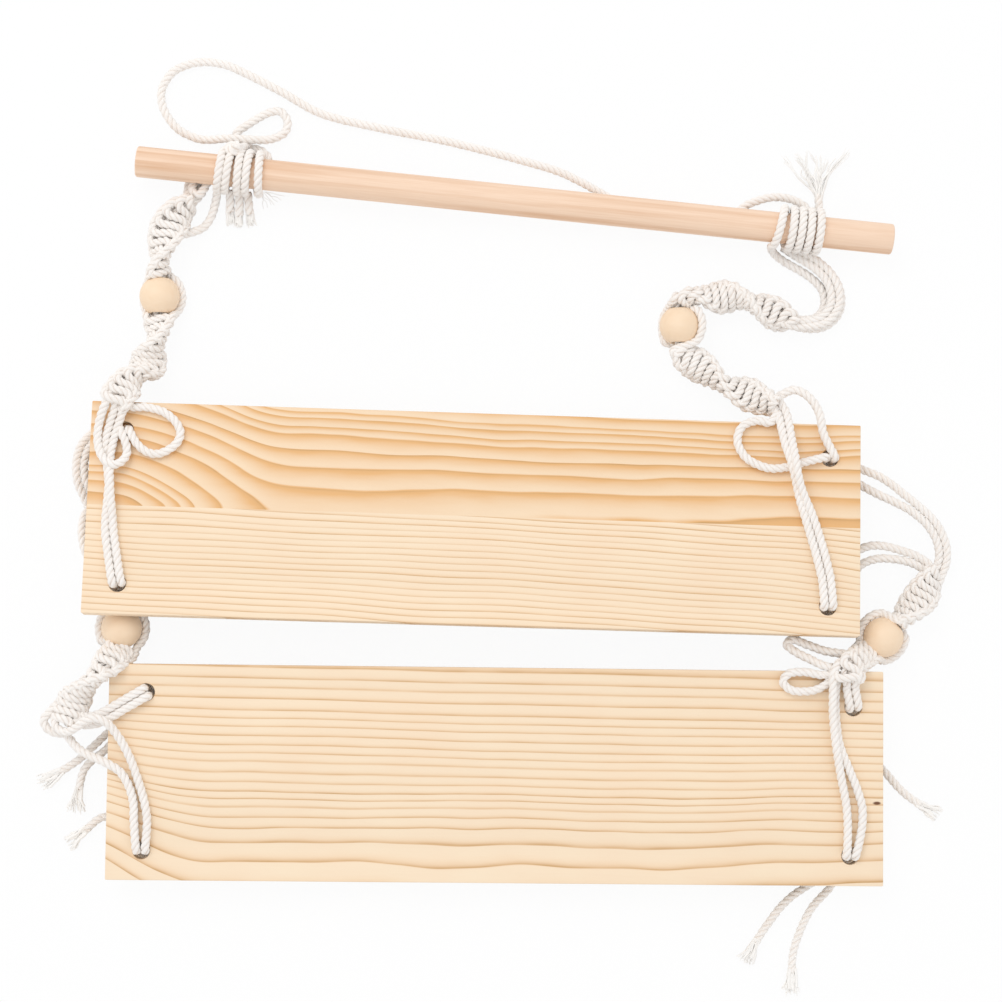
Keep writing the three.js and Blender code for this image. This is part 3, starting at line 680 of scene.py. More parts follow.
# scales of the mottling, of the pores and of the change in strength along the grain
pineTexture = {
    "mottle": 22, "pores": (40, 900, 900), "vary": (28, 160, 160),
    # gain and shift of that change in the bands and in the lines, and of the pores' colour
    "bandStrength": (0.7, 0.65), "lineStrength": (2.0, -0.15), "poreShade": (0.12, -0.02),
    "poreHeight": 0.5, "lineHeight": -0.2, "bump": 0.2, "depth": 0.00008,
}
# half the width of a ring's sharp edge, as a share of the colour ramp
ringEdge = 0.0018


def fromBoard(material, board):
    # the material's place on the board in millimetres: x from the left end, y down from the upper edge
    turn = boardTurn(board).to_euler("XYZ")
    place = mapped(material, objectPlace(material), inFrame(board["at"]), turn, kind="TEXTURE")
    axes = nodeOf(material, "ShaderNodeSeparateXYZ")
    linked(material, place, axes.inputs[0])
    fromEnd = calc(material, "MULTIPLY_ADD", axes.outputs["X"], 1000, boards["length"] / 2)
    fromEdge = calc(material, "MULTIPLY_ADD", axes.outputs["Y"], -1000, boards["depth"] / 2)
    below = calc(material, "MULTIPLY", axes.outputs["Z"], 1000)
    return place, fromEnd, fromEdge, below


def ringRamp(material, reach, rings, low, high):
    # rises from 0 just past each ring to 1 at the next, so each ring ends in a sharp late line
    share = nodeOf(material, "ShaderNodeMapRange")
    share.inputs["From Min"].default_value = low
    share.inputs["From Max"].default_value = high
    linked(material, reach, share.inputs["Value"])
    ramp = nodeOf(material, "ShaderNodeValToRGB")
    stops = ramp.color_ramp.elements
    stops[0].position = 0
    stops[0].color = (0, 0, 0, 1)
    stops[1].position = 1
    stops[1].color = (0.5, 0.5, 0.5, 1)
    for ring in rings:
        position = (ring - low) / (high - low)
        stops.new(position - ringEdge).color = (1, 1, 1, 1)
        stops.new(position + ringEdge).color = (0, 0, 0, 1)
    linked(material, share.outputs["Result"], ramp.inputs["Fac"])
    return ramp.outputs["Color"]


def pineFinish(material, shader, place, bands, lines, spot=None):
    # bands is the soft orange late wood, lines its sharp edge
    maths, noise, mixed = toolsOf(material)
    mottle = noise(place, pineTexture["mottle"])
    pores = noise(mapped(material, place, scale=pineTexture["pores"]), 1.0, detail=3.0, roughness=0.6)
    vary = noise(mapped(material, place, scale=pineTexture["vary"]), 1.0, roughness=0.6)
    bandStrength = maths("MULTIPLY_ADD", vary, *pineTexture["bandStrength"])
    lineStrength = maths("MULTIPLY_ADD", vary, *pineTexture["lineStrength"])
    bands = clamped(maths, maths("MULTIPLY", bands, bandStrength))
    lines = clamped(maths, maths("MULTIPLY", lines, lineStrength))
    colour = mixed(mottle, pineColours["pale"], pineColours["rosy"])
    colour = mixed(bands, colour, pineColours["band"])
    colour = mixed(lines, colour, pineColours["line"])
    colour = mixed(maths("MULTIPLY_ADD", pores, *pineTexture["poreShade"]), colour, pineColours["band"])
    if spot:
        colour = mixed(spot, colour, pineColours["knot"])
    linked(material, colour, shader.inputs["Base Color"])
    height = maths("MULTIPLY", pores, pineTexture["poreHeight"])
    height = maths("ADD", height, maths("MULTIPLY", lines, pineTexture["lineHeight"]))
    bumped(material, shader, height, pineTexture["bump"], pineTexture["depth"])


def wanderOf(material, place, scale):
    # the place stretched along the grain, and the grain's slow wandering about its line
    maths, noise, mixed = toolsOf(material)
    stretched = mapped(material, place, scale=scale)
    return stretched, maths("SUBTRACT", noise(stretched, 1.0, roughness=0.45), 0.5)


# The upper board is two staves glued edge to edge. Marks are millimetres from its left end or upper edge
upperGrain = {
    "glueLine": 57.0, "pithEnd": 16.6, "settled": 39.5, "arch": 1.45, "wander": (13, 34, 34),
    "rings": [7.5, 13, 17.1, 21, 28.3, 38.0, 45.2, 52.6, 58.8, 65.4, 69, 73.4, 76.6, 83],
    "ringRange": (-4, 92),
    # how far the grain wanders in depth and along the rings, and how the arches' run starts and settles
    "depthWander": 4.0, "reachWander": 2.4, "runSlope": 0.5, "startEasing": 6.0, "settledEasing": 12.0,
    # the wide stave's rings draw together from one mark, and drift away from the glue line from another
    "squeeze": {"mark": 135.0, "span": 165.0, "by": 0.14}, "fall": {"mark": 150.0, "by": -0.0125},
    # the narrow stave's rings slope, and bend down towards the right end
    "fineSpacing": 3.45, "fineSlope": -0.026, "fineBend": {"mark": 260.0, "span": 160.0, "by": -4.5},
    "fineDrift": 7.0, "fineStrength": (0.5, 0.35),
    # power and gain of the soft bands and the sharp lines
    "wideBands": (1.8, 1.1), "wideLines": (17.0, 1.1), "fineBands": (3.6, 0.95), "fineLines": (10.0, 1.3),
    "wideBase": 0.2,
}
# how far the rings lean over through the board's thickness
ringLean = 0.5


def upperPine():
    material, shader = newMaterial("pineWideGrain", pineColours["roughness"])
    maths, noise, mixed = toolsOf(material)
    grain = upperGrain
    place, fromEnd, fromEdge, below = fromBoard(material, boards["upper"])
    stretched, wander = wanderOf(material, place, grain["wander"])
    # wide stave: nested arches at the left that run out level to the right
    depth = maths("MAXIMUM", maths("SUBTRACT", grain["glueLine"], fromEdge), 0.0)
    depth = maths("MULTIPLY_ADD", below, ringLean, depth)
    depth = maths("MAXIMUM", maths("MULTIPLY_ADD", wander, grain["depthWander"], depth), 0.0)
    squeeze = pastMark(maths, fromEnd, grain["squeeze"]["mark"], grain["squeeze"]["span"])
    squeeze = maths("MULTIPLY_ADD", maths("MINIMUM", squeeze, 1.0), grain["squeeze"]["by"], 1.0)
    depth = maths("MULTIPLY", depth, squeeze)
    run = maths("MULTIPLY", maths("SUBTRACT", fromEnd, grain["pithEnd"]), grain["runSlope"])
    run = maths("SMOOTH_MAX", run, 0.0, grain["startEasing"])
    run = maths("SMOOTH_MIN", run, grain["settled"], grain["settledEasing"])
    run = maths("MULTIPLY_ADD", pastMark(maths, fromEnd, grain["fall"]["mark"]), grain["fall"]["by"], run)
    arch = grain["arch"]
    reach = maths("POWER", maths("ADD", maths("POWER", run, arch), maths("POWER", depth, arch)), 1 / arch)
    reach = maths("MULTIPLY_ADD", wander, grain["reachWander"], reach)
    wide = ringRamp(material, reach, grain["rings"], *grain["ringRange"])
    # narrow stave: fine rings, each with its own strength
    bend = pastMark(maths, fromEnd, grain["fineBend"]["mark"], grain["fineBend"]["span"])
    level = maths("MULTIPLY_ADD", fromEnd, grain["fineSlope"], fromEdge)
    level = maths("MULTIPLY_ADD", squared(maths, bend), grain["fineBend"]["by"], level)
    level = maths("MULTIPLY_ADD", noise(stretched, 0.6, detail=1.0), grain["fineDrift"], level)
    ringCount = maths("DIVIDE", level, grain["fineSpacing"])
    fine = maths("FRACT", ringCount)
    chance = nodeOf(material, "ShaderNodeTexWhiteNoise", noise_dimensions="1D")
    linked(material, maths("FLOOR", ringCount), chance.inputs["W"])
    strength = maths("MULTIPLY_ADD", chance.outputs["Value"], *grain["fineStrength"])
    wideBands = maths("ADD", sharpened(maths, wide, *grain["wideBands"]), grain["wideBase"])
    wideLines = sharpened(maths, wide, *grain["wideLines"])
    fineBands = maths("MULTIPLY", sharpened(maths, fine, *grain["fineBands"]), strength)
    fineLines = maths("MULTIPLY", sharpened(maths, fine, *grain["fineLines"]), strength)
    inNarrow = maths("GREATER_THAN", fromEdge, grain["glueLine"])
    bands, lines = mixed(inNarrow, wideBands, fineBands), mixed(inNarrow, wideLines, fineLines)
    pineFinish(material, shader, place, bands, lines)
    return material


lowerGrain = {
    "rings": [
        0.7, 6.8, 12, 18, 24.3, 28.6, 33, 38, 43, 47.4, 52, 57.6, 62.5, 67.2, 71, 75.2, 80.5, 86, 94, 105,
        118, 130,
    ],
    "ringRange": (-10, 150), "wander": (9, 20, 20), "slope": -0.012,
    # a colour ramp is too short for all the rings, so two ramps meet at the ring of this number
    "meet": 14,
    # where the rings start to lift towards each end, over what distance, and how far at the lower edge
    "lifts": [(60.0, -60.0, 30.0), (250.0, 170.0, 9.0)],
    # the rings sway this much at the upper edge, and this much more at the lower one
    "sway": 3.0, "lowSway": 16.0,
    "bands": (4.0, 0.72), "lines": (10.0, 1.15),
    "pinKnot": {"at": (206.5, -13.2, 0), "size": (0.0026, 0.0011, 0.02), "gain": 2.2},
}


def lowerPine():
    material, shader = newMaterial("pineFineGrain", pineColours["roughness"])
    maths, noise, mixed = toolsOf(material)
    grain = lowerGrain
    place, fromEnd, fromEdge, below = fromBoard(material, boards["lower"])
    stretched, wander = wanderOf(material, place, grain["wander"])
    share = maths("DIVIDE", fromEdge, boards["depth"])
    lowShare = squared(maths, share)
    reach = maths("MULTIPLY_ADD", fromEnd, grain["slope"], fromEdge)
    for mark, span, height in grain["lifts"]:
        lift = maths("MULTIPLY", squared(maths, pastMark(maths, fromEnd, mark, span)), lowShare)
        reach = maths("MULTIPLY_ADD", lift, height, reach)
    sway = maths("MULTIPLY_ADD", maths("MULTIPLY", lowShare, share), grain["lowSway"], grain["sway"])
    reach = maths("MULTIPLY_ADD", wander, sway, reach)
    reach = maths("MULTIPLY_ADD", below, -ringLean, reach)
    rings, meet = grain["rings"], grain["meet"]
    first = ringRamp(material, reach, rings[:meet + 1], *grain["ringRange"])
    second = ringRamp(material, reach, rings[meet:], *grain["ringRange"])
    late = mixed(maths("GREATER_THAN", reach, rings[meet]), first, second)
    # a pin knot near the right end
    knot = grain["pinKnot"]
    knotAt = inFrame(onBoard(boards["lower"], knot["at"]))
    knotPlace = mapped(material, objectPlace(material), knotAt, scale=knot["size"], kind="TEXTURE")
    spot = nodeOf(material, "ShaderNodeTexGradient", gradient_type="SPHERICAL")
    linked(material, knotPlace, spot.inputs["Vector"])
    spot = maths("MINIMUM", maths("MULTIPLY", spot.outputs["Fac"], knot["gain"]), 1.0)
    bands, lines = sharpened(maths, late, *grain["bands"]), sharpened(maths, late, *grain["lines"])
    pineFinish(material, shader, place, bands, lines, spot)
    return material


def addBoards():
    for level, finish in (("upper", upperPine()), ("lower", lowerPine())):
        mesh = boardMesh(level + "Board", boards[level])
        mesh.materials.clear()
        mesh.materials.append(finish)
        mesh.shade_smooth()
        mesh.set_sharp_from_angle(angle=math.radians(boards["sharp"]))
        addPiece(level + "Board", mesh, level + "_shelf", [level + "_shelf_board"])


addBoards()
print("boards cut")

# Stopper knots under the boards, and the pairs of cords that rise through the holes
stopperKnot = {
    "radius": 4.6, "turns": 2.2, "steps": 40, "gap": 0.3, "descent": 1.08,
    # the last wrap runs in under the others from this share of the path, and by this share of the radius
    "tuckFrom": 0.88, "tuck": 0.75,
    "wrapDiameter": 4.9, "wrapLay": 10.0, "coreDiameter": 5.6, "coreLay": 12.0, "lyingHeight": 2.5,
    # the core ends inside the wraps by these two lengths, by the board and at the knot's foot
    "coreInsets": (1, 1.5),
    # half the distance between the two cords in a hole, and their ends above and below the board's face
    "apart": 2.35, "top": 2.6, "bottom": -13.5,
}


def knotPath(board, corner):
    # the last wraps of the knot, tied round the two cords
    underside = -boards["thickness"] - stopperKnot["gap"]
    top = underside - cordDiameter / 2
    bottom = underside - board["knots"][corner] + cordDiameter / 2
    tuckFrom = stopperKnot["tuckFrom"]
    points = []
    for count in range(stopperKnot["steps"] + 1):
        share = count / stopperKnot["steps"]
        angle = 2 * math.pi * stopperKnot["turns"] * share + corners.index(corner)
        tucked = stopperKnot["tuck"] * max(0, share - tuckFrom) / (1 - tuckFrom)
        reach = stopperKnot["radius"] * (1 - tucked)
        height = top + (bottom - top) * min(1, share * stopperKnot["descent"])
        place = Vector((reach * math.cos(angle), reach * math.sin(angle), height))
        points.append(onBoard(board, holeCentre(board, corner) + place))
    return points


def throughHole(board, corner, side, direction):
    # one of the two cords in a hole, from above the board to inside the knot
    aside = Vector((math.cos(direction), math.sin(direction), 0)) * stopperKnot["apart"] * side
    middle, bottom = holeCentre(board, corner) + aside, stopperKnot["bottom"]
    heights = (stopperKnot["top"], 0, bottom / 2, bottom)
    return [onBoard(board, middle + upAxis * height) for height in heights]


def addKnots(level):
    board = boards[level]
    for corner in corners:
        wraps = resting(knotPath(board, corner), stopperKnot["lyingHeight"])
        underside, centre = -boards["thickness"], holeCentre(board, corner)
        topInset, footInset = stopperKnot["coreInsets"]
        heights = (underside - topInset, underside - board["knots"][corner] + footInset)
        core = curvePoints([onBoard(board, centre + upAxis * height) for height in heights])
        mesh = joinedMesh(f"{level}_{corner}_knot", [
            cordMesh("wraps", [wraps], stopperKnot["wrapDiameter"], stopperKnot["wrapLay"]),
            cordMesh("core", [core], stopperKnot["coreDiameter"], stopperKnot["coreLay"]),
        ])
        addPiece(f"{level}_{corner}_knot", mesh, level + "_shelf", [f"{level}_shelf_knot_{corner}"])


addKnots("upper")
addKnots("lower")
print("knots tied")

# Legs: the cords from the straps to the holes
pairedCords = {
    # half the distance between two cords side by side, over the boards and under the upper one
    "apart": 2.3, "underApart": 2.2,
    # where one rides over the other, how far they close up and part in height, over what share of the way
    "closing": 0.75, "riding": 0.85, "width": 0.16,
}


def legRoute(points, board, corner, side):
    return curvePoints(points + throughHole(board, corner, side, 0))


def pairRoutes(points, board, corner, pinch=None):
    # two cords side by side, in the same order down through the hole
    middle = curvePoints(points, 4.0)
    aside = beside(middle, 1)
    run = onBoard(board, holeCentre(board, corner)) - middle[-1]
    across = math.atan2(run.y, run.x) + math.pi / 2
    apart = pairedCords["apart"]
    paths = []
    for side in (-1, 1):
        path = []
        for index, point in enumerate(middle):
            closeness = 0
            if pinch:
                closeness = math.exp(-((index / len(middle) - pinch) / pairedCords["width"]) ** 2)
            level = (aside[index] - point) * side * apart * (1 - pairedCords["closing"] * closeness)
            path.append(point + level + upAxis * (side + 1) * apart * pairedCords["riding"] * closeness)
        paths.append(curvePoints(path + throughHole(board, corner, side, across)))
    return paths


# Each single cord has its route, its hole and its side there, and each pair its middle line and its hole.
# A piece also has a start and an end, and the upper board's single cords a place called near
upperLegs = {
    "upper_left": {
        "nodes": ["upper_left_leg_outer", "upper_left_leg_inner", "upper_left_leg_pair"],
        "singles": [
            ([
                (-211.6, 57.5, 29.4), (-214.4, 51.2, 30.2), (-217.2, 44.4, 28.6), (-218.8, 37.3, 27.6),
                (-219, 30.7, 28), (-217.3, 24.1, 30.2), (-214, 19.3, 32.4), (-210, 17.2, 32.4),
                (-205.8, 18.9, 30.4), (-203.2, 23.4, 28.4), (-203.6, 28.2, 28.2),
            ], "upper_left", -1),
            ([
                (-209, 54, 28.6), (-204.5, 50.6, 26.6), (-199.9, 49, 25), (-194.9, 49.2, 24.6),
                (-189.1, 48.2, 24.8), (-182.5, 45.6, 25.2), (-177.1, 40.7, 25.6), (-174.6, 35.3, 26.2),
                (-176.2, 29.8, 26.8), (-181.1, 25.7, 27.1), (-187.2, 23.4, 27.3), (-193, 24.8, 27.3),
                (-198, 29, 27.5),
            ], "upper_left", 1),
        ],
        "pair": ([
            (-207.8, 54.5, 30), (-207.6, 48.6, 28.4), (-210.2, 40.6, 26.6), (-212.6, 31.6, 26.4),
            (-213.4, 24.1, 27), (-212.9, 16.6, 27.6), (-212.2, 8, 28.6), (-212.1, -6.5, 30),
            (-211.8, -18, 31), (-210.6, -27, 32), (-209.4, -34, 33), (-208.6, -39, 33.8),
        ], "lower_left"),
        "start": (-210, 50, 29), "end": (-207.9, -38, 34), "near": (-200, 33, 28), "pinch": 0.48,
    },
    "upper_right": {
        "nodes": ["upper_right_leg_outer", "upper_right_leg_inner", "upper_right_leg_pair"],
        "singles": [
            ([
                (148, 54, 21.6), (154.6, 57.9, 21.8), (160.4, 60, 22.2), (168, 56, 23.6),
                (173.4, 47.2, 25.4), (175.4, 35.5, 26.9),
            ], "upper_right", 1),
            ([
                (150.5, 47, 24.4), (146.6, 41.6, 25), (139.4, 42.6, 24.9), (131, 39.2, 25.3),
                (128.4, 31.2, 26.2), (132.8, 22.3, 27), (144.7, 16.5, 27.5), (154, 16.8, 27.4),
                (163.4, 19.4, 27.3),
            ], "upper_right", -1),
        ],
        "pair": ([
            (149, 56, 22), (151, 50.8, 22.8), (153.2, 46.6, 24.4), (154.4, 39.5, 27.4), (155.6, 30, 31),
            (157.4, 21, 33.8), (158.8, 13.6, 33.6), (160.6, 6.6, 31.4), (163.4, -2, 30.2),
            (166, -8.7, 30.1), (172, -29.4, 31.9), (175, -43, 33.6),
        ], "lower_right"),
        "start": (151, 51, 23), "end": (176.1, -50, 34), "near": (174, 28, 27), "pinch": 0.46,
    },
}

# The pairs under the upper board, from a stopper knot to a lower strap
underPairs = {
    "upper_left": {"knotEnd": (-204, 34.4, 8), "route": [
        (-213.6, 36, 7), (-221, 35.6, 7.4), (-227, 31.6, 7.4), (-230.4, 25, 7.2), (-231.4, 17, 7.2),
        (-230.4, 9.6, 7), (-227.6, 3, 6), (-224.6, -4, 5.2), (-222.6, -10, 5),
    ]},
    "lower_left": {"knotEnd": (-208, -46.5, 17), "route": [
        (-215.4, -46.8, 16), (-220, -40, 15.4), (-223.6, -31, 14.4), (-226, -25, 13.6), (-227, -18, 13.4),
        (-226.2, -10.4, 11), (-224, -6, 8),
    ]},
    "upper_right": {"knotEnd": (180, 23, 8), "parting": {"at": 0.3, "by": 2.4, "width": 0.16}, "route": [
        (188, 19.6, 7), (199.8, 13.2, 7), (209.7, 8.2, 7.2), (220.9, 1.4, 7.4), (230.7, -5.4, 7.4),
        (239.3, -14, 7.2), (244, -24, 7), (244.4, -33, 6.8), (242, -40, 6.6), (240, -45, 7),
    ]},
    "lower_right": {"knotEnd": (177, -58, 15), "parting": {"at": 0.52, "by": 1.7, "width": 0.18}, "route": [
        (184.8, -59.4, 14), (188, -51, 12), (191.4, -41, 10.4), (195.6, -33.6, 9.2), (201.4, -29.8, 8.2),
        (209.2, -28.4, 7.4), (220.3, -30, 7), (229.6, -33, 6.8), (235.6, -37.4, 7), (236.6, -43, 7.6),
    ]},
}

lowerLegs = {
    "lower_left": {
        "nodes": ["lower_left_leg_pair", "lower_left_leg_front", "lower_left_leg_back"],
        "pair": ([
            (-231, -118.5, 20), (-225.8, -120.4, 21), (-219, -119.8, 24.4), (-213, -117.4, 25.7),
            (-205.4, -112.8, 25.4),
        ], "upper_left"),
        "singles": [
            ([
                (-236, -116, 20), (-241.3, -119.4, 19.6), (-240.6, -124, 20.4), (-235.2, -126.4, 23),
                (-229.6, -124.4, 27.6), (-224.3, -120.6, 31), (-218.6, -118.7, 32.4),
                (-212.6, -121, 31.4), (-206.4, -128.6, 28.4), (-200.6, -139.5, 25.8),
                (-195.8, -152.3, 25.3), (-192.2, -164.5, 25.3), (-190.8, -174, 25.3),
            ], "lower_left", 1),
            ([
                (-234, -108, 19.5), (-239.5, -110.5, 18), (-244.6, -115.6, 16.4), (-248.2, -120.4, 15.6),
                (-246, -125.2, 15.4), (-240.4, -127.4, 16), (-236.4, -127.6, 18), (-233.4, -130.6, 18.6),
                (-229.6, -134.8, 20), (-223.6, -138.4, 23), (-214.1, -142.4, 25.4),
                (-205.4, -147.8, 25.6), (-200.8, -155.2, 25.4), (-198.2, -164.1, 25.3),
                (-197.8, -173.9, 25.3),
            ], "lower_left", -1),
        ],
        "start": (-232, -120, 21), "end": (-205, -165, 22), "loops": [],
    },
    "lower_right": {
        "nodes": [
            "lower_right_leg_pair", "lower_right_leg_front", "lower_right_leg_back",
            "lower_right_slack_upper", "lower_right_slack_lower",
        ],
        "pair": ([(187.6, -96.4, 30), (189, -100.4, 29.4), (189.1, -102.7, 27.4)], "upper_right"),
        "singles": [
            ([
                (182, -95, 28.6), (181.6, -100, 27), (181.2, -104, 25.8), (181, -116, 25.4),
                (182.8, -133, 25.4), (187.2, -145, 25.4), (192, -157, 25.4), (195, -168, 25.4),
                (194.4, -180, 25.4),
            ], "lower_right", 1),
            ([
                (179, -93, 30.6), (178.6, -98.9, 31.4), (178.8, -104, 30.6), (178.8, -116, 29.4),
                (180.4, -133, 28.6), (183.2, -150, 26.6), (186.4, -167, 25.4), (187, -180, 25.4),
            ], "lower_right", -1),
        ],
        "loops": [
            [
                (189, -85, 22), (185, -84.4, 22), (177, -83.2, 20.8), (167.5, -80, 20),
                (158.5, -76.8, 19.4), (155.4, -79.2, 19.4), (160, -83.4, 20.4), (167.6, -87.4, 22.4),
                (174.4, -90.8, 26), (179, -92, 27.5),
            ],
            [
                (178, -95.5, 27.5), (173.4, -96, 26), (163.7, -94.4, 25.5), (155.5, -95.4, 25.5),
                (152.3, -99.7, 25.5), (156.5, -104, 25.5), (165, -104.9, 25.5), (172.2, -103.3, 25.5),
                (177.4, -99.6, 26), (180.4, -96, 26.4),
            ],
        ],
        "start": (185, -96, 29), "end": (188, -130, 24),
    },
}


def addUpperLegs():
    board = boards["upper"]
    for strap, legs in upperLegs.items():
        singles = [legRoute(points, board, hole, side) for points, hole, side in legs["singles"]]
        points, hole = legs["pair"]
        pair = pairRoutes(points, board, hole, legs["pinch"])
        groups = (
            ("loops", singles, legs["near"], legs["nodes"][:2]),
            ("pair", pair, legs["end"], legs["nodes"][2:]),
        )
        for kind, paths, end, nodes in groups:
            name = f"{strap}_leg_{kind}"
            piece = addPiece(name, cordMesh(name, paths), None, nodes)
            inFrame(legs["start"])
            inFrame(end)
            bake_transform(piece)


def addUnderPairs():
    apart = pairedCords["underApart"]
    for corner, pair in underPairs.items():
        knotEnd, points = pair["knotEnd"], pair["route"]
        middle = curvePoints([knotEnd] + points, 3.0)
        # where a parting is given, the two cords lie further apart round that share of the way
        parting = pair.get("parting", {"at": 0, "by": 0, "width": 1})
        paths = []
        for side in (-1, 1):
            near, far = beside(middle, side * apart), beside(middle, side * (apart + parting["by"]))
            path = []
            for index, point in enumerate(near):
                fromParting = (index / (len(middle) - 1) - parting["at"]) / parting["width"]
                path.append(point.lerp(far[index], math.exp(-fromParting ** 2)))
            paths.append(curvePoints(resting(path, lyingHeight)))
        name = corner + "_under_pair"
        piece = addPiece(name, cordMesh(name, paths), None, ["under_pair_" + corner])
        inFrame(knotEnd)
        inFrame(points[-1])
        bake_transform(piece)


def addLowerLegs():
    board = boards["lower"]
    for strap, legs in lowerLegs.items():
        points, hole = legs["pair"]
        paths = pairRoutes(points, board, hole)
        paths += [legRoute(points, board, hole, side) for points, hole, side in legs["singles"]]
        paths += [curvePoints(points) for points in legs["loops"]]
        name = strap + "_legs"
        piece = addPiece(name, cordMesh(name, paths), None, legs["nodes"])
        inFrame(legs["start"])
        inFrame(legs["end"])
        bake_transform(piece)


addUpperLegs()
addUnderPairs()
addLowerLegs()
print("legs laid")

# Beads
bead = {
    "diameter": 22, "length": 19.2, "bore": 9.4, "edge": 0.5, "edgeEasing": 0.3, "rows": 16, "segments": 48,
    # how far out the working cords pass, and how far from the middle the knots sit
    "sideReach": 13.3, "seat": 10.6,
    # the cords' arc ends short of the knots by a gap, and its bend is that of a wider arc
    "endGap": 0.3, "widening": 2.4,
}
beadPlaces = {
    "upper_left": {"at": (-188.3, 112, 11), "along": (0, -1, 0), "sides": (-27, 222)},
    "upper_right": {"at": (98.5, 96.7, 11), "along": (0, -1, 0), "sides": (24, 228)},
    "lower_left": {"at": (-207.3, -70.6, 11), "along": (-0.13, -0.99, 0), "sides": (-16, 196)},
    "lower_right": {"at": (209.4, -75.5, 14.5), "along": (-0.71, -0.7, 0), "sides": (-18, 182)},
}
beadWood = {
    "pale": (0.95, 0.75, 0.55), "band": (0.88, 0.62, 0.39), "roughness": 0.5,
    "grain": (110, 260, 420), "patchScale": 45, "contrast": 1.1, "shift": -0.3, "bump": 0.12, "depth": 0.0001,
}


def beadMaterial():
    material, shader = newMaterial("beadWood", beadWood["roughness"])
    maths, noise, mixed = toolsOf(material)
    place = objectPlace(material)
    grain = noise(mapped(material, place, scale=beadWood["grain"]), 1.0, detail=3.0, roughness=0.55)
    share = clamped(maths, maths("MULTIPLY_ADD", grain, beadWood["contrast"], beadWood["shift"]))
    share = maths("MULTIPLY", share, noise(place, beadWood["patchScale"]))
    linked(material, mixed(share, beadWood["pale"], beadWood["band"]), shader.inputs["Base Color"])
    bumped(material, shader, grain, beadWood["bump"], beadWood["depth"])
    return material


def turnedMesh(name, profile, segments, matrix):
    # a closed profile of distance and height, turned about its axis and put in place
    work = bmesh.new()
    rows = []
    for distance, height in profile:
        row = []
        for count in range(segments):
            angle = 2 * math.pi * count / segments
            place = matrix @ Vector((distance * math.cos(angle), distance * math.sin(angle), height))
            row.append(work.verts.new(inFrame(place)))
        rows.append(row)
    for index in range(len(rows)):
        first, second = rows[index], rows[(index + 1) % len(rows)]
        for count in range(segments):
            after = (count + 1) % segments
            work.faces.new((first[count], first[after], second[after], second[count]))
    bmesh.ops.remove_doubles(work, verts=work.verts, dist=1e-7)
    bmesh.ops.recalc_face_normals(work, faces=work.faces)
    mesh = bpy.data.meshes.new(name)
    work.to_mesh(mesh)
    work.free()
    mesh.shade_smooth()
    return mesh


def beadProfile():
    # the bore's length with both of its edges eased, and the ball outside
    radius, half, bore, edge = bead["diameter"] / 2, bead["length"] / 2, bead["bore"] / 2, bead["edge"]
    rim, eased = math.acos(half / radius), edge * bead["edgeEasing"]
    profile = [(bore, half - edge), (bore + eased, half - eased), (bore + edge, half)]
    for count in range(bead["rows"] + 1):
        angle = math.pi / 2 - rim - count / bead["rows"] * (math.pi - 2 * rim)
        profile.append((radius * math.cos(angle), radius * math.sin(angle)))
    return profile + [(bore + edge, -half), (bore + eased, -half + eased), (bore, -half + edge)]


def addBeads():
    material, profile = beadMaterial(), beadProfile()
    for corner, place in beadPlaces.items():
        turn = upAxis.rotation_difference(Vector(place["along"])).to_matrix().to_4x4()
        matrix = Matrix.Translation(Vector(place["at"])) @ turn
        mesh = turnedMesh(corner + "Bead", profile, bead["segments"], matrix)
        mesh.materials.append(material)
        addPiece(corner + "Bead", mesh, corner + "_bead", [corner + "_bead"])


addBeads()
print("beads turned")

# Dowel
dowel = {
    "at": (7.8, 165.6, 14), "turn": -5.63, "diameter": 17, "length": 420, "edge": 1.1,
    "edgeRows": 5, "sideRow": 20, "segments": 64,
}
dowelWood = {
    "pale": (0.925, 0.69, 0.52), "band": (0.66, 0.35, 0.17), "roughness": 0.55,
    "bands": (5, 230, 230), "bandsShift": (0.3, 0.4, 0.1), "contrast": 4.2, "shift": -2.0,
    "pores": (40, 1400, 1400), "bandShade": 0.6, "poreShade": (0.6, -0.24), "bump": 0.2, "depth": 0.0001,
}


def dowelMatrix():
    turn = Matrix.Rotation(math.radians(dowel["turn"]), 4, "Z")
    return Matrix.Translation(Vector(dowel["at"])) @ turn


def dowelMaterial():
    material, shader = newMaterial("dowelWood", dowelWood["roughness"])
    maths, noise, mixed = toolsOf(material)
    turn = (0, 0, math.radians(dowel["turn"]))
    place = mapped(material, objectPlace(material), inFrame(dowel["at"]), turn, kind="TEXTURE")
    stretched = mapped(material, place, dowelWood["bandsShift"], scale=dowelWood["bands"])
    bands = noise(stretched, 1.0, roughness=0.45)
    bands = clamped(maths, maths("MULTIPLY_ADD", bands, dowelWood["contrast"], dowelWood["shift"]))
    pores = noise(mapped(material, place, scale=dowelWood["pores"]), 1.0, detail=3.0, roughness=0.6)
    share = maths("MULTIPLY_ADD", pores, *dowelWood["poreShade"])
    share = maths("MAXIMUM", maths("MULTIPLY_ADD", bands, dowelWood["bandShade"], share), 0.0)
    linked(material, mixed(share, dowelWood["pale"], dowelWood["band"]), shader.inputs["Base Color"])
    bumped(material, shader, pores, dowelWood["bump"], dowelWood["depth"])
    return material


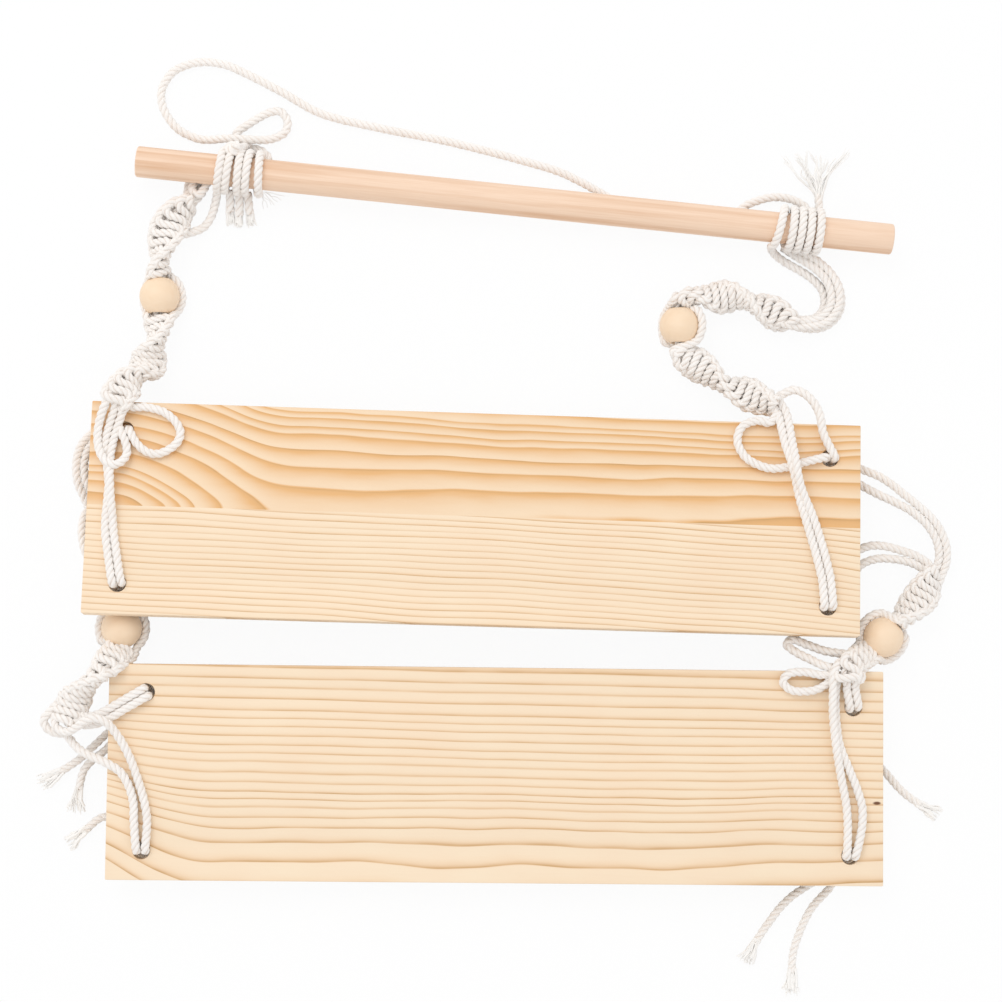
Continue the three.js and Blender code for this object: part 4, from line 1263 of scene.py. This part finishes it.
def addDowel():
    radius, half, edge = dowel["diameter"] / 2, dowel["length"] / 2, dowel["edge"]
    # one half of the rod from its end: the flat face, the rounded edge and a row on the side
    halfProfile = [(0, -half)]
    for count in range(dowel["edgeRows"] + 1):
        angle = math.pi / 2 * count / dowel["edgeRows"]
        halfProfile.append((radius - edge + edge * math.sin(angle), -half + edge - edge * math.cos(angle)))
    halfProfile.append((radius, -half + dowel["sideRow"]))
    profile = halfProfile + [(distance, -height) for distance, height in reversed(halfProfile)]
    matrix = dowelMatrix() @ Matrix.Rotation(math.radians(90), 4, "Y")
    mesh = turnedMesh("dowelRod", profile, dowel["segments"], matrix)
    mesh.materials.append(dowelMaterial())
    addPiece("dowelRod", mesh, "dowel", ["dowel"])


addDowel()
print("dowel turned")

# Cord wound round the dowel, from the near side over the top
winding = {
    "radius": 11.0, "first": 0.2, "last": 4.9, "steps": 16,
    # distances along the dowel where each turn passes its near and its far side, and the way to the first
    "left": {
        "near": [-164.6, -160.4, -153.6, -149.2, -141.4, -137.6],
        "far": [-162.2, -157.6, -152.8, -148, -142.6, -138.6],
        "lead": [
            (-181, 146, 9.5), (-175.5, 147, 7.2), (-170, 149, 5), (-165.2, 151.6, 3.6),
            (-161.4, 157, 3.2), (-159.2, 163.4, 4),
        ],
    },
    "right": {
        "near": [143.8, 152.6, 157.6, 162.7, 168.2, 172], "far": [149.2, 154.2, 159, 163.8, 168.8, 172],
        "lead": [
            (157, 102.6, 7), (163, 101.4, 6.2), (169.5, 101.1, 5.2), (175, 102.4, 3.4), (179.4, 106.6, 3),
            (180.6, 112, 2.8), (179.4, 118.2, 2.7), (174.8, 123.6, 2.7), (168.2, 128.4, 2.7),
            (161, 132.4, 2.7), (155.4, 136, 2.9), (151.6, 139.4, 4),
        ],
    },
}


def windingPoint(side, turn):
    angle = turn * 2 * math.pi - math.pi / 2
    places = [place for turned in zip(winding[side]["near"], winding[side]["far"]) for place in turned]
    # the first near place is a quarter turn on, and the next places follow half a turn apart
    mark = max(0.0, (turn - 0.25) * 2)
    low = min(int(mark), len(places) - 2)
    along = places[low] + (places[low + 1] - places[low]) * (mark - low)
    radius = winding["radius"]
    return dowelMatrix() @ Vector((along, -radius * math.cos(angle), radius * math.sin(angle)))


def windingPath(side):
    first, last = winding["first"], winding["last"]
    steps = round((last - first) * winding["steps"])
    turned = [windingPoint(side, first + (last - first) * count / steps) for count in range(steps + 1)]
    return curvePoints(winding[side]["lead"] + turned)


necks = {
    "left": [
        [(-160, 185, 3), (-163.5, 177, 3.2), (-167, 169.5, 5), (-172.8, 163, 7), (-176, 160, 8)],
        [(-164.4, 187, 3), (-166.4, 178, 3), (-169, 170, 5.6), (-173.6, 163.6, 8.6), (-177, 160, 10)],
        [(-169, 186.5, 3), (-170, 178, 3.2), (-171.8, 170, 6.2), (-174.6, 164, 9), (-178, 158, 11)],
        [(-173, 185, 3.2), (-173.4, 177, 3.6), (-174.4, 169, 6), (-175.4, 162, 7), (-178, 157, 8)],
        [
            (-162, 180, 6), (-164, 173, 9), (-168, 168.4, 10.4), (-171, 171, 9.4), (-170, 177, 7),
            (-168, 182, 4),
        ],
    ],
    "right": [
        [
            (166, 142.6, 3), (174.6, 136.2, 3), (181.8, 130.2, 3), (187.2, 123.4, 3), (190, 114.6, 3),
            (189, 106, 3), (183.8, 99.4, 3.2), (177.2, 96.4, 4), (169.5, 96.2, 5), (161.5, 97.6, 6.4),
            (156, 99.6, 7.6),
        ],
        [
            (157.5, 142, 3), (164.6, 136.8, 4.4), (172.6, 131.4, 6.8), (179.4, 125, 7.6),
            (183.2, 117, 7.8), (183, 109.4, 7.8), (179.4, 103.6, 8.2), (174, 100.6, 8.8),
            (168, 99.8, 9.6), (161, 99.4, 10.2), (154.6, 101.4, 10),
        ],
        [
            (162.4, 142.4, 3), (168.4, 139, 6), (176.4, 133.6, 7.4), (183.4, 127, 7.6), (187.4, 119, 7.8),
            (188, 110.4, 7.8), (184.6, 103, 8), (178.6, 98.4, 8.4), (171.5, 96.8, 9.4), (163, 96.6, 10.4),
            (155, 98.4, 11),
        ],
    ],
}
# the small knot that ties the hanging cord on, over the left winding
tieKnot = [
    (-141, 197.5, 5), (-142.6, 195.6, 10), (-143.6, 193.6, 15.6), (-144.4, 191.6, 20.4),
    (-147.2, 189.6, 23.2), (-150, 191.2, 22.4), (-149.6, 194, 19.4), (-146.8, 195, 18.6),
    (-144.6, 193, 21), (-146.6, 191.6, 24.6), (-148.6, 192.6, 22),
]


def addWindings():
    for side in ("left", "right"):
        name = side + "Winding"
        paths = [resting(windingPath(side), lyingHeight)]
        if side == "left":
            paths.append(curvePoints(tieKnot))
        addPiece(name, cordMesh(name, paths, sides=8), "upper_straps", [side + "_winding"])
        name = side + "Neck"
        paths = [resting(curvePoints(points), lyingHeight) for points in necks[side]]
        addPiece(name, cordMesh(name, paths), "upper_straps", [side + "_neck"])


addWindings()

# The frayed ends at the dowel
brush = {
    "route": [
        (175, 141, 14), (176.6, 148, 9), (177.6, 155, 5), (178, 162, 3), (178, 167, 2.8), (177.7, 172, 2.8),
    ],
    "along": (-0.06, 1, 0), "length": 27, "spread": 19, "seed": 5,
    "locks": 9, "fibres": 5, "fibreDiameter": 0.4, "yarnDiameter": 1.0, "waver": 2.2,
}
stubs = [
    {"route": [(-150.4, 171.5, 8), (-150.4, 166, 6.4), (-150.6, 160.4, 4.4)], "length": 9, "spread": 2.2},
    {"route": [(-145.4, 170, 7), (-145.3, 164, 6), (-145.6, 158.4, 4.2)], "length": 7.5, "spread": 1.8},
    {"route": [(-140.6, 170.5, 7), (-140.3, 165, 6), (-139.8, 159.4, 4.2)], "length": 8, "spread": 2.4},
]
stubCord = {"diameter": 5.0, "lay": 13.0, "seed": 20}
# loose threads beside the stubs: the first one's start and reach, and what each next one adds to them
threads = {
    "count": 7, "diameter": 0.22, "seed": 40, "start": (-133.5, 171.5, 4.5), "startStep": (0.5, 0, 0),
    "reach": (1.5, -9, -3.6), "reachStep": (1.4, 1.1, 0),
    # two bends on the way, one to each side
    "bends": ((0.35, 1.0), (0.7, -0.6)),
}


def threadPath(number):
    chance = random.Random(threads["seed"] + number)
    start = Vector(threads["start"]) + Vector(threads["startStep"]) * number
    reachOut = Vector(threads["reach"]) + Vector(threads["reachStep"]) * number
    reachOut.y += chance.uniform(-1, 1)
    sway = Vector((chance.uniform(-1, 1), chance.uniform(-1, 1), 0))
    bends = [start + reachOut * share + sway * aside for share, aside in threads["bends"]]
    return curvePoints([start, *bends, start + reachOut], 1.2)


def addFrayedEnds():
    path = curvePoints(brush["route"])
    shape = {key: brush[key] for key in ("fibreDiameter", "yarnDiameter", "waver", "locks", "fibres")}
    mesh = joinedMesh("rightFrayedEnd", [
        cordMesh("stem", [path]),
        frayMesh("brush", path[-1], brush["along"], brush["length"], brush["spread"], brush["seed"], **shape),
    ])
    addPiece("rightFrayedEnd", mesh, "upper_straps", ["right_frayed_end"])
    tufts = []
    for number, stub in enumerate(stubs):
        path = curvePoints(stub["route"])
        tip, along, seed = path[-1], path[-1] - path[-4], stubCord["seed"] + number
        tufts.append(cordMesh("stub", [path], stubCord["diameter"], stubCord["lay"]))
        tufts.append(frayMesh("tuft", tip, along, stub["length"], stub["spread"], seed))
    threadPaths = [threadPath(number) for number in range(threads["count"])]
    tufts.append(looseMesh("threads", threadPaths, threads["diameter"], 4))
    addPiece("leftFrayedStubs", joinedMesh("leftFrayedStubs", tufts), "upper_straps")


addFrayedEnds()
print("windings and frayed ends done")

# Straps of half knots that turn in a spiral round two core cords
sennit = {
    "pitch": 5.0, "cord": 4.75, "core": 3.6, "coreApart": 1.8, "coreStep": 4, "over": 2.8, "reachShare": 0.74,
    # where the knots start and end, against the ends of the stretch above a bead and of the one below
    "above": (-1.0, -0.3), "below": (0.3, 1.5),
}
# how far the bar across each knot leans along the strap
barLean = {"upper_left": 0.32, "upper_right": 0.1, "lower_left": 0.2, "lower_right": 0.14}
# each row has a place, the knots' turn round the strap there in degrees, and half their width
strapRoutes = {
    "upper_left": {
        "above": [
            (-172.9, 164.2, 7.4, -75, 8), (-179.5, 157, 11, -30, 10), (-183.9, 149.5, 11.3, 0, 11),
            (-187.2, 139, 11.3, 45, 11), (-188.2, 130.5, 11.2, 90, 11), (-188.3, 122.6, 11, 130, 10),
        ],
        "below": [
            (-188.3, 101.4, 11, 0, 9.5), (-188.6, 94, 11.2, 45, 10), (-190.2, 85, 11.3, 90, 10.6),
            (-194.6, 73.4, 12, 180, 11), (-200, 66.8, 17, 270, 10.4), (-204.6, 60.8, 24.5, 345, 9.6),
            (-208.2, 55.2, 28.8, 360, 9.6), (-210.3, 51.6, 29.6, 360, 9.6),
        ],
    },
    "upper_right": {
        "above": [
            (160.5, 99.4, 8, -62, 8), (149.8, 104.6, 11, 0, 9.8), (135.2, 110.8, 11.3, 92, 9.4),
            (120.7, 112.8, 11.3, 180, 9.8), (109.4, 113.6, 11.3, 262, 9), (101.6, 111.6, 11.2, 300, 9),
            (98.5, 107.3, 11, 318, 9.5),
        ],
        "below": [
            (98.5, 86.1, 11, 118, 9), (101.4, 80.4, 11.1, 145, 9.4), (107.9, 75.4, 11.3, 182, 9.8),
            (121, 65.2, 12, 270, 9.4), (136.3, 57.8, 15.8, 360, 9.8), (150.2, 51.7, 22, 430, 8.4),
        ],
    },
    "lower_left": {
        "above": [
            (-222, -10, 5, 0, 9), (-219, -24, 4.9, 0, 9), (-214.5, -40, 4.9, 0, 9),
            (-209.6, -52, 5.6, 0, 8.5), (-208.68, -60.09, 11, 20, 7.6),
        ],
        "below": [
            (-205.92, -81.11, 11, -10, 9.4), (-209, -85, 16.5, 0, 9.6), (-213.2, -90.4, 24.6, 20, 9.2),
            (-220.6, -98.2, 25.4, 80, 7.6), (-227.4, -105.4, 22.4, 130, 9),
            (-232.2, -112.2, 20.4, 175, 9.8), (-237.4, -120.5, 20, 215, 8),
        ],
    },
    "lower_right": {
        "above": [
            (238.8, -40, 6.4, -62, 9), (234.4, -48.4, 9, -20, 10), (229.4, -55.6, 11.6, 15, 10.4),
            (223.8, -61.8, 13.4, 55, 10), (216.95, -68.06, 14.5, 95, 9.5),
        ],
        "below": [
            (201.85, -82.94, 14.5, 30, 8.5), (197.6, -85.2, 18.4, 10, 8), (192, -88.9, 26.2, 0, 7.6),
            (187, -92.6, 30, 0, 7.8), (186.8, -98.4, 30.2, 0, 9.8),
        ],
    },
}
# across, over and along within one knot, for the cord in front and the cord behind
frontPass = [
    (-1.0, 0.3, -0.6), (-0.86, 0.78, -0.26), (-0.45, 1.05, -0.04), (0, 1.12, 0), (0.45, 1.05, 0.04),
    (0.84, 0.75, 0.2), (0.98, 0.2, 0.5),
]
backPass = [
    (-1.05, 0.62, 0.0), (-0.98, 0.1, 0.34), (-0.8, -0.62, 0.22), (-0.42, -1.0, 0.05), (0, -1.08, 0),
    (0.42, -1.0, -0.04), (0.84, -0.55, -0.08), (1.03, 0.0, 0.08),
]


def sennitFrames(route):
    # gives a function from the distance along the route to place, axes and half width, and the whole length
    fine = curvePoints(route, 0.5)
    lengths = reachedLengths(fine)
    found = 0
    marks = []
    for point in route:
        found = min(range(found, len(fine)), key=lambda index: (fine[index] - Vector(point[:3])).length)
        marks.append(lengths[found])
    marks[0], marks[-1] = 0.0, lengths[-1]

    def frameAt(reached):
        if reached <= 0:
            index, extra = 0, reached
        elif reached >= lengths[-1]:
            index, extra = len(fine) - 2, reached - lengths[-2]
        else:
            index = max(0, next(number for number, length in enumerate(lengths) if length >= reached) - 1)
            extra = reached - lengths[index]
        low, high = max(0, index - 3), min(len(fine) - 1, index + 4)
        along = (fine[high] - fine[low]).normalized()
        at = fine[index] + (fine[index + 1] - fine[index]).normalized() * extra
        span = 0
        while span < len(marks) - 2 and marks[span + 1] < reached:
            span += 1
        mix = min(1, max(0, (reached - marks[span]) / (marks[span + 1] - marks[span])))
        before, after = route[span], route[span + 1]
        roll = math.radians(before[3] + (after[3] - before[3]) * mix)
        halfWidth = before[4] + (after[4] - before[4]) * mix
        level = upAxis.cross(along).normalized()
        rise = along.cross(level)
        across = level * math.cos(roll) + rise * math.sin(roll)
        over = rise * math.cos(roll) - level * math.sin(roll)
        return at, across, over, halfWidth

    return frameAt, lengths[-1]


def knotCords(frameAt, first, last, lean):
    # two working cords tied as half knots between two distances along the strap
    count = max(1, round((last - first) / sennit["pitch"]))
    pitch = (last - first) / count
    cordPaths = ([], [])
    for number in range(count):
        middle = first + (number + 0.5) * pitch
        reach = frameAt(middle)[3] * sennit["reachShare"]
        for which in (0, 1):
            inFront = (number + which) % 2 == 0
            # a cord that starts on the right side runs the mirrored way
            mirror = 1 if inFront else -1
            passage = frontPass if inFront else backPass
            for across, over, along in passage:
                leaning = lean * across * mirror * over * reach
                at, acrossAxis, overAxis, halfWidth = frameAt(middle + along * pitch - leaning)
                aside = acrossAxis * across * mirror * reach
                cordPaths[which].append(at + aside + overAxis * over * sennit["over"])
    return cordPaths


def coreCords(frameAt, total):
    steps = max(3, round(total / sennit["coreStep"]))
    cords = ([], [])
    for number in range(steps + 1):
        at, across, over, halfWidth = frameAt(total * number / steps)
        for cord, side in zip(cords, (-1, 1)):
            cord.append(at + across * side * sennit["coreApart"])
    return cords


def sideArc(place, angle):
    # one working cord's way past a bead
    centre = Vector(place["at"])
    along = Vector(place["along"]).normalized()
    level = upAxis.cross(along).normalized()
    out = level * math.cos(math.radians(angle)) + upAxis * math.sin(math.radians(angle))
    reach = bead["sideReach"]
    bend = math.asin((bead["seat"] - bead["endGap"]) / (reach + bead["widening"]))
    return [
        centre + along * reach * math.sin(share * bend) + out * reach * math.cos(share * bend)
        for share in (-1, -0.6, -0.2, 0.2, 0.6, 1)
    ]


def crossingIsNearer(ends, starts):
    # whether cords run a shorter way when each goes on to the other's side
    straight = sum((end - start).length for end, start in zip(ends, starts))
    crossed = sum((end - start).length for end, start in zip(ends, reversed(starts)))
    return crossed < straight


def strapPaths(corner):
    above, aboveTotal = sennitFrames(strapRoutes[corner]["above"])
    below, belowTotal = sennitFrames(strapRoutes[corner]["below"])
    (aboveFirst, aboveLast), (belowFirst, belowLast) = sennit["above"], sennit["below"]
    aboveCords = knotCords(above, aboveFirst, aboveTotal + aboveLast, barLean[corner])
    belowCords = knotCords(below, belowFirst, belowTotal + belowLast, barLean[corner])
    # each working cord takes the side of the bead that is nearer to it
    arcs = [sideArc(beadPlaces[corner], angle) for angle in beadPlaces[corner]["sides"]]
    if crossingIsNearer([path[-1] for path in aboveCords], [arc[0] for arc in arcs]):
        arcs.reverse()
    if crossingIsNearer([arc[-1] for arc in arcs], [path[0] for path in belowCords]):
        belowCords = belowCords[::-1]
    knots = [curvePoints(first + arc + last, 0.8) for first, arc, last in zip(aboveCords, arcs, belowCords)]
    # inside the bore the two cores lie side by side
    aboveCores, belowCores = coreCords(above, aboveTotal), coreCords(below, belowTotal)
    if crossingIsNearer([aboveCores[0][-1]], [core[0] for core in belowCores]):
        belowCores = belowCores[::-1]
    cores = [curvePoints(first + second, 0.8) for first, second in zip(aboveCores, belowCores)]
    return knots, cores


def addStraps():
    for corner in corners:
        knots, cores = strapPaths(corner)
        knots = [resting(path, sennit["cord"] / 2) for path in knots]
        cores = [resting(path, sennit["core"] / 2) for path in cores]
        mesh = joinedMesh(corner + "Strap", [
            cordMesh("knots", knots, sennit["cord"], step=0.75), cordMesh("cores", cores, sennit["core"]),
        ])
        body = "upper_straps" if corner.startswith("upper") else "lower_straps"
        parts = ("sennit_above", "sennit_below", "bead_cord_left", "bead_cord_right")
        addPiece(corner + "Strap", mesh, body, [f"{corner}_{part}" for part in parts])


addStraps()
print("straps knotted")

# Floor and light
studio = {
    "floor": (0.95, 0.95, 0.95), "floorHalf": 6.0, "floorDrop": 0.0003, "roughness": 0.9,
    # how clear the floor is to the camera, and how strongly the sky lights the shelf
    "clear": 0.93, "sky": 0.87,
    "keySize": 1.2, "keyPower": 11.0, "keyAt": (-0.7, 1.1, 1.9),
}


def addFloor():
    floor = bpy.data.meshes.new("floor")
    half = studio["floorHalf"]
    places = [(-half, -half, 0), (half, -half, 0), (half, half, 0), (-half, half, 0)]
    floor.from_pydata(places, [], [(0, 1, 2, 3)])
    floorObject = bpy.data.objects.new("floor", floor)
    floorObject.location.z = -studio["floorDrop"]
    bpy.context.collection.objects.link(floorObject)
    material, shader = newMaterial("whiteFloor", studio["roughness"])
    shader.inputs["Base Color"].default_value = (*studio["floor"], 1)
    shader.inputs["Specular IOR Level"].default_value = 0
    # the camera looks through most of the floor at the white beyond, and at a shelf that hangs below it
    clear = nodeOf(material, "ShaderNodeBsdfTransparent")
    seen = nodeOf(material, "ShaderNodeLightPath").outputs["Is Camera Ray"]
    mix = nodeOf(material, "ShaderNodeMixShader")
    linked(material, calc(material, "MULTIPLY", seen, studio["clear"]), mix.inputs["Fac"])
    linked(material, shader.outputs["BSDF"], mix.inputs[1])
    linked(material, clear.outputs["BSDF"], mix.inputs[2])
    linked(material, mix.outputs["Shader"], material.node_tree.nodes["Material Output"].inputs["Surface"])
    floor.materials.append(material)


def addLight():
    world = bpy.data.worlds.new("studio")
    bpy.context.scene.world = world
    world.use_nodes = True
    background = world.node_tree.nodes["Background"]
    background.inputs["Color"].default_value = (1, 1, 1, 1)
    # the sky is full white to the camera and to reflections, and lights the shelf a little less
    path = nodeOf(world, "ShaderNodeLightPath").outputs
    strength = nodeOf(world, "ShaderNodeMapRange")
    strength.inputs["To Min"].default_value = studio["sky"]
    strength.inputs["To Max"].default_value = 1.0
    seen = calc(world, "MAXIMUM", path["Is Camera Ray"], path["Is Glossy Ray"])
    linked(world, seen, strength.inputs["Value"])
    linked(world, strength.outputs["Result"], background.inputs["Strength"])

    key = bpy.data.lights.new("key", "AREA")
    key.shape = "SQUARE"
    key.size = studio["keySize"]
    key.energy = studio["keyPower"]
    keyObject = bpy.data.objects.new("key", key)
    keyObject.location = studio["keyAt"]
    keyObject.rotation_euler = (-keyObject.location).to_track_quat("-Z", "Y").to_euler()
    bpy.context.collection.objects.link(keyObject)


addFloor()
addLight()
bpy.context.scene.view_settings.view_transform = "Standard"
print("floor and light set")
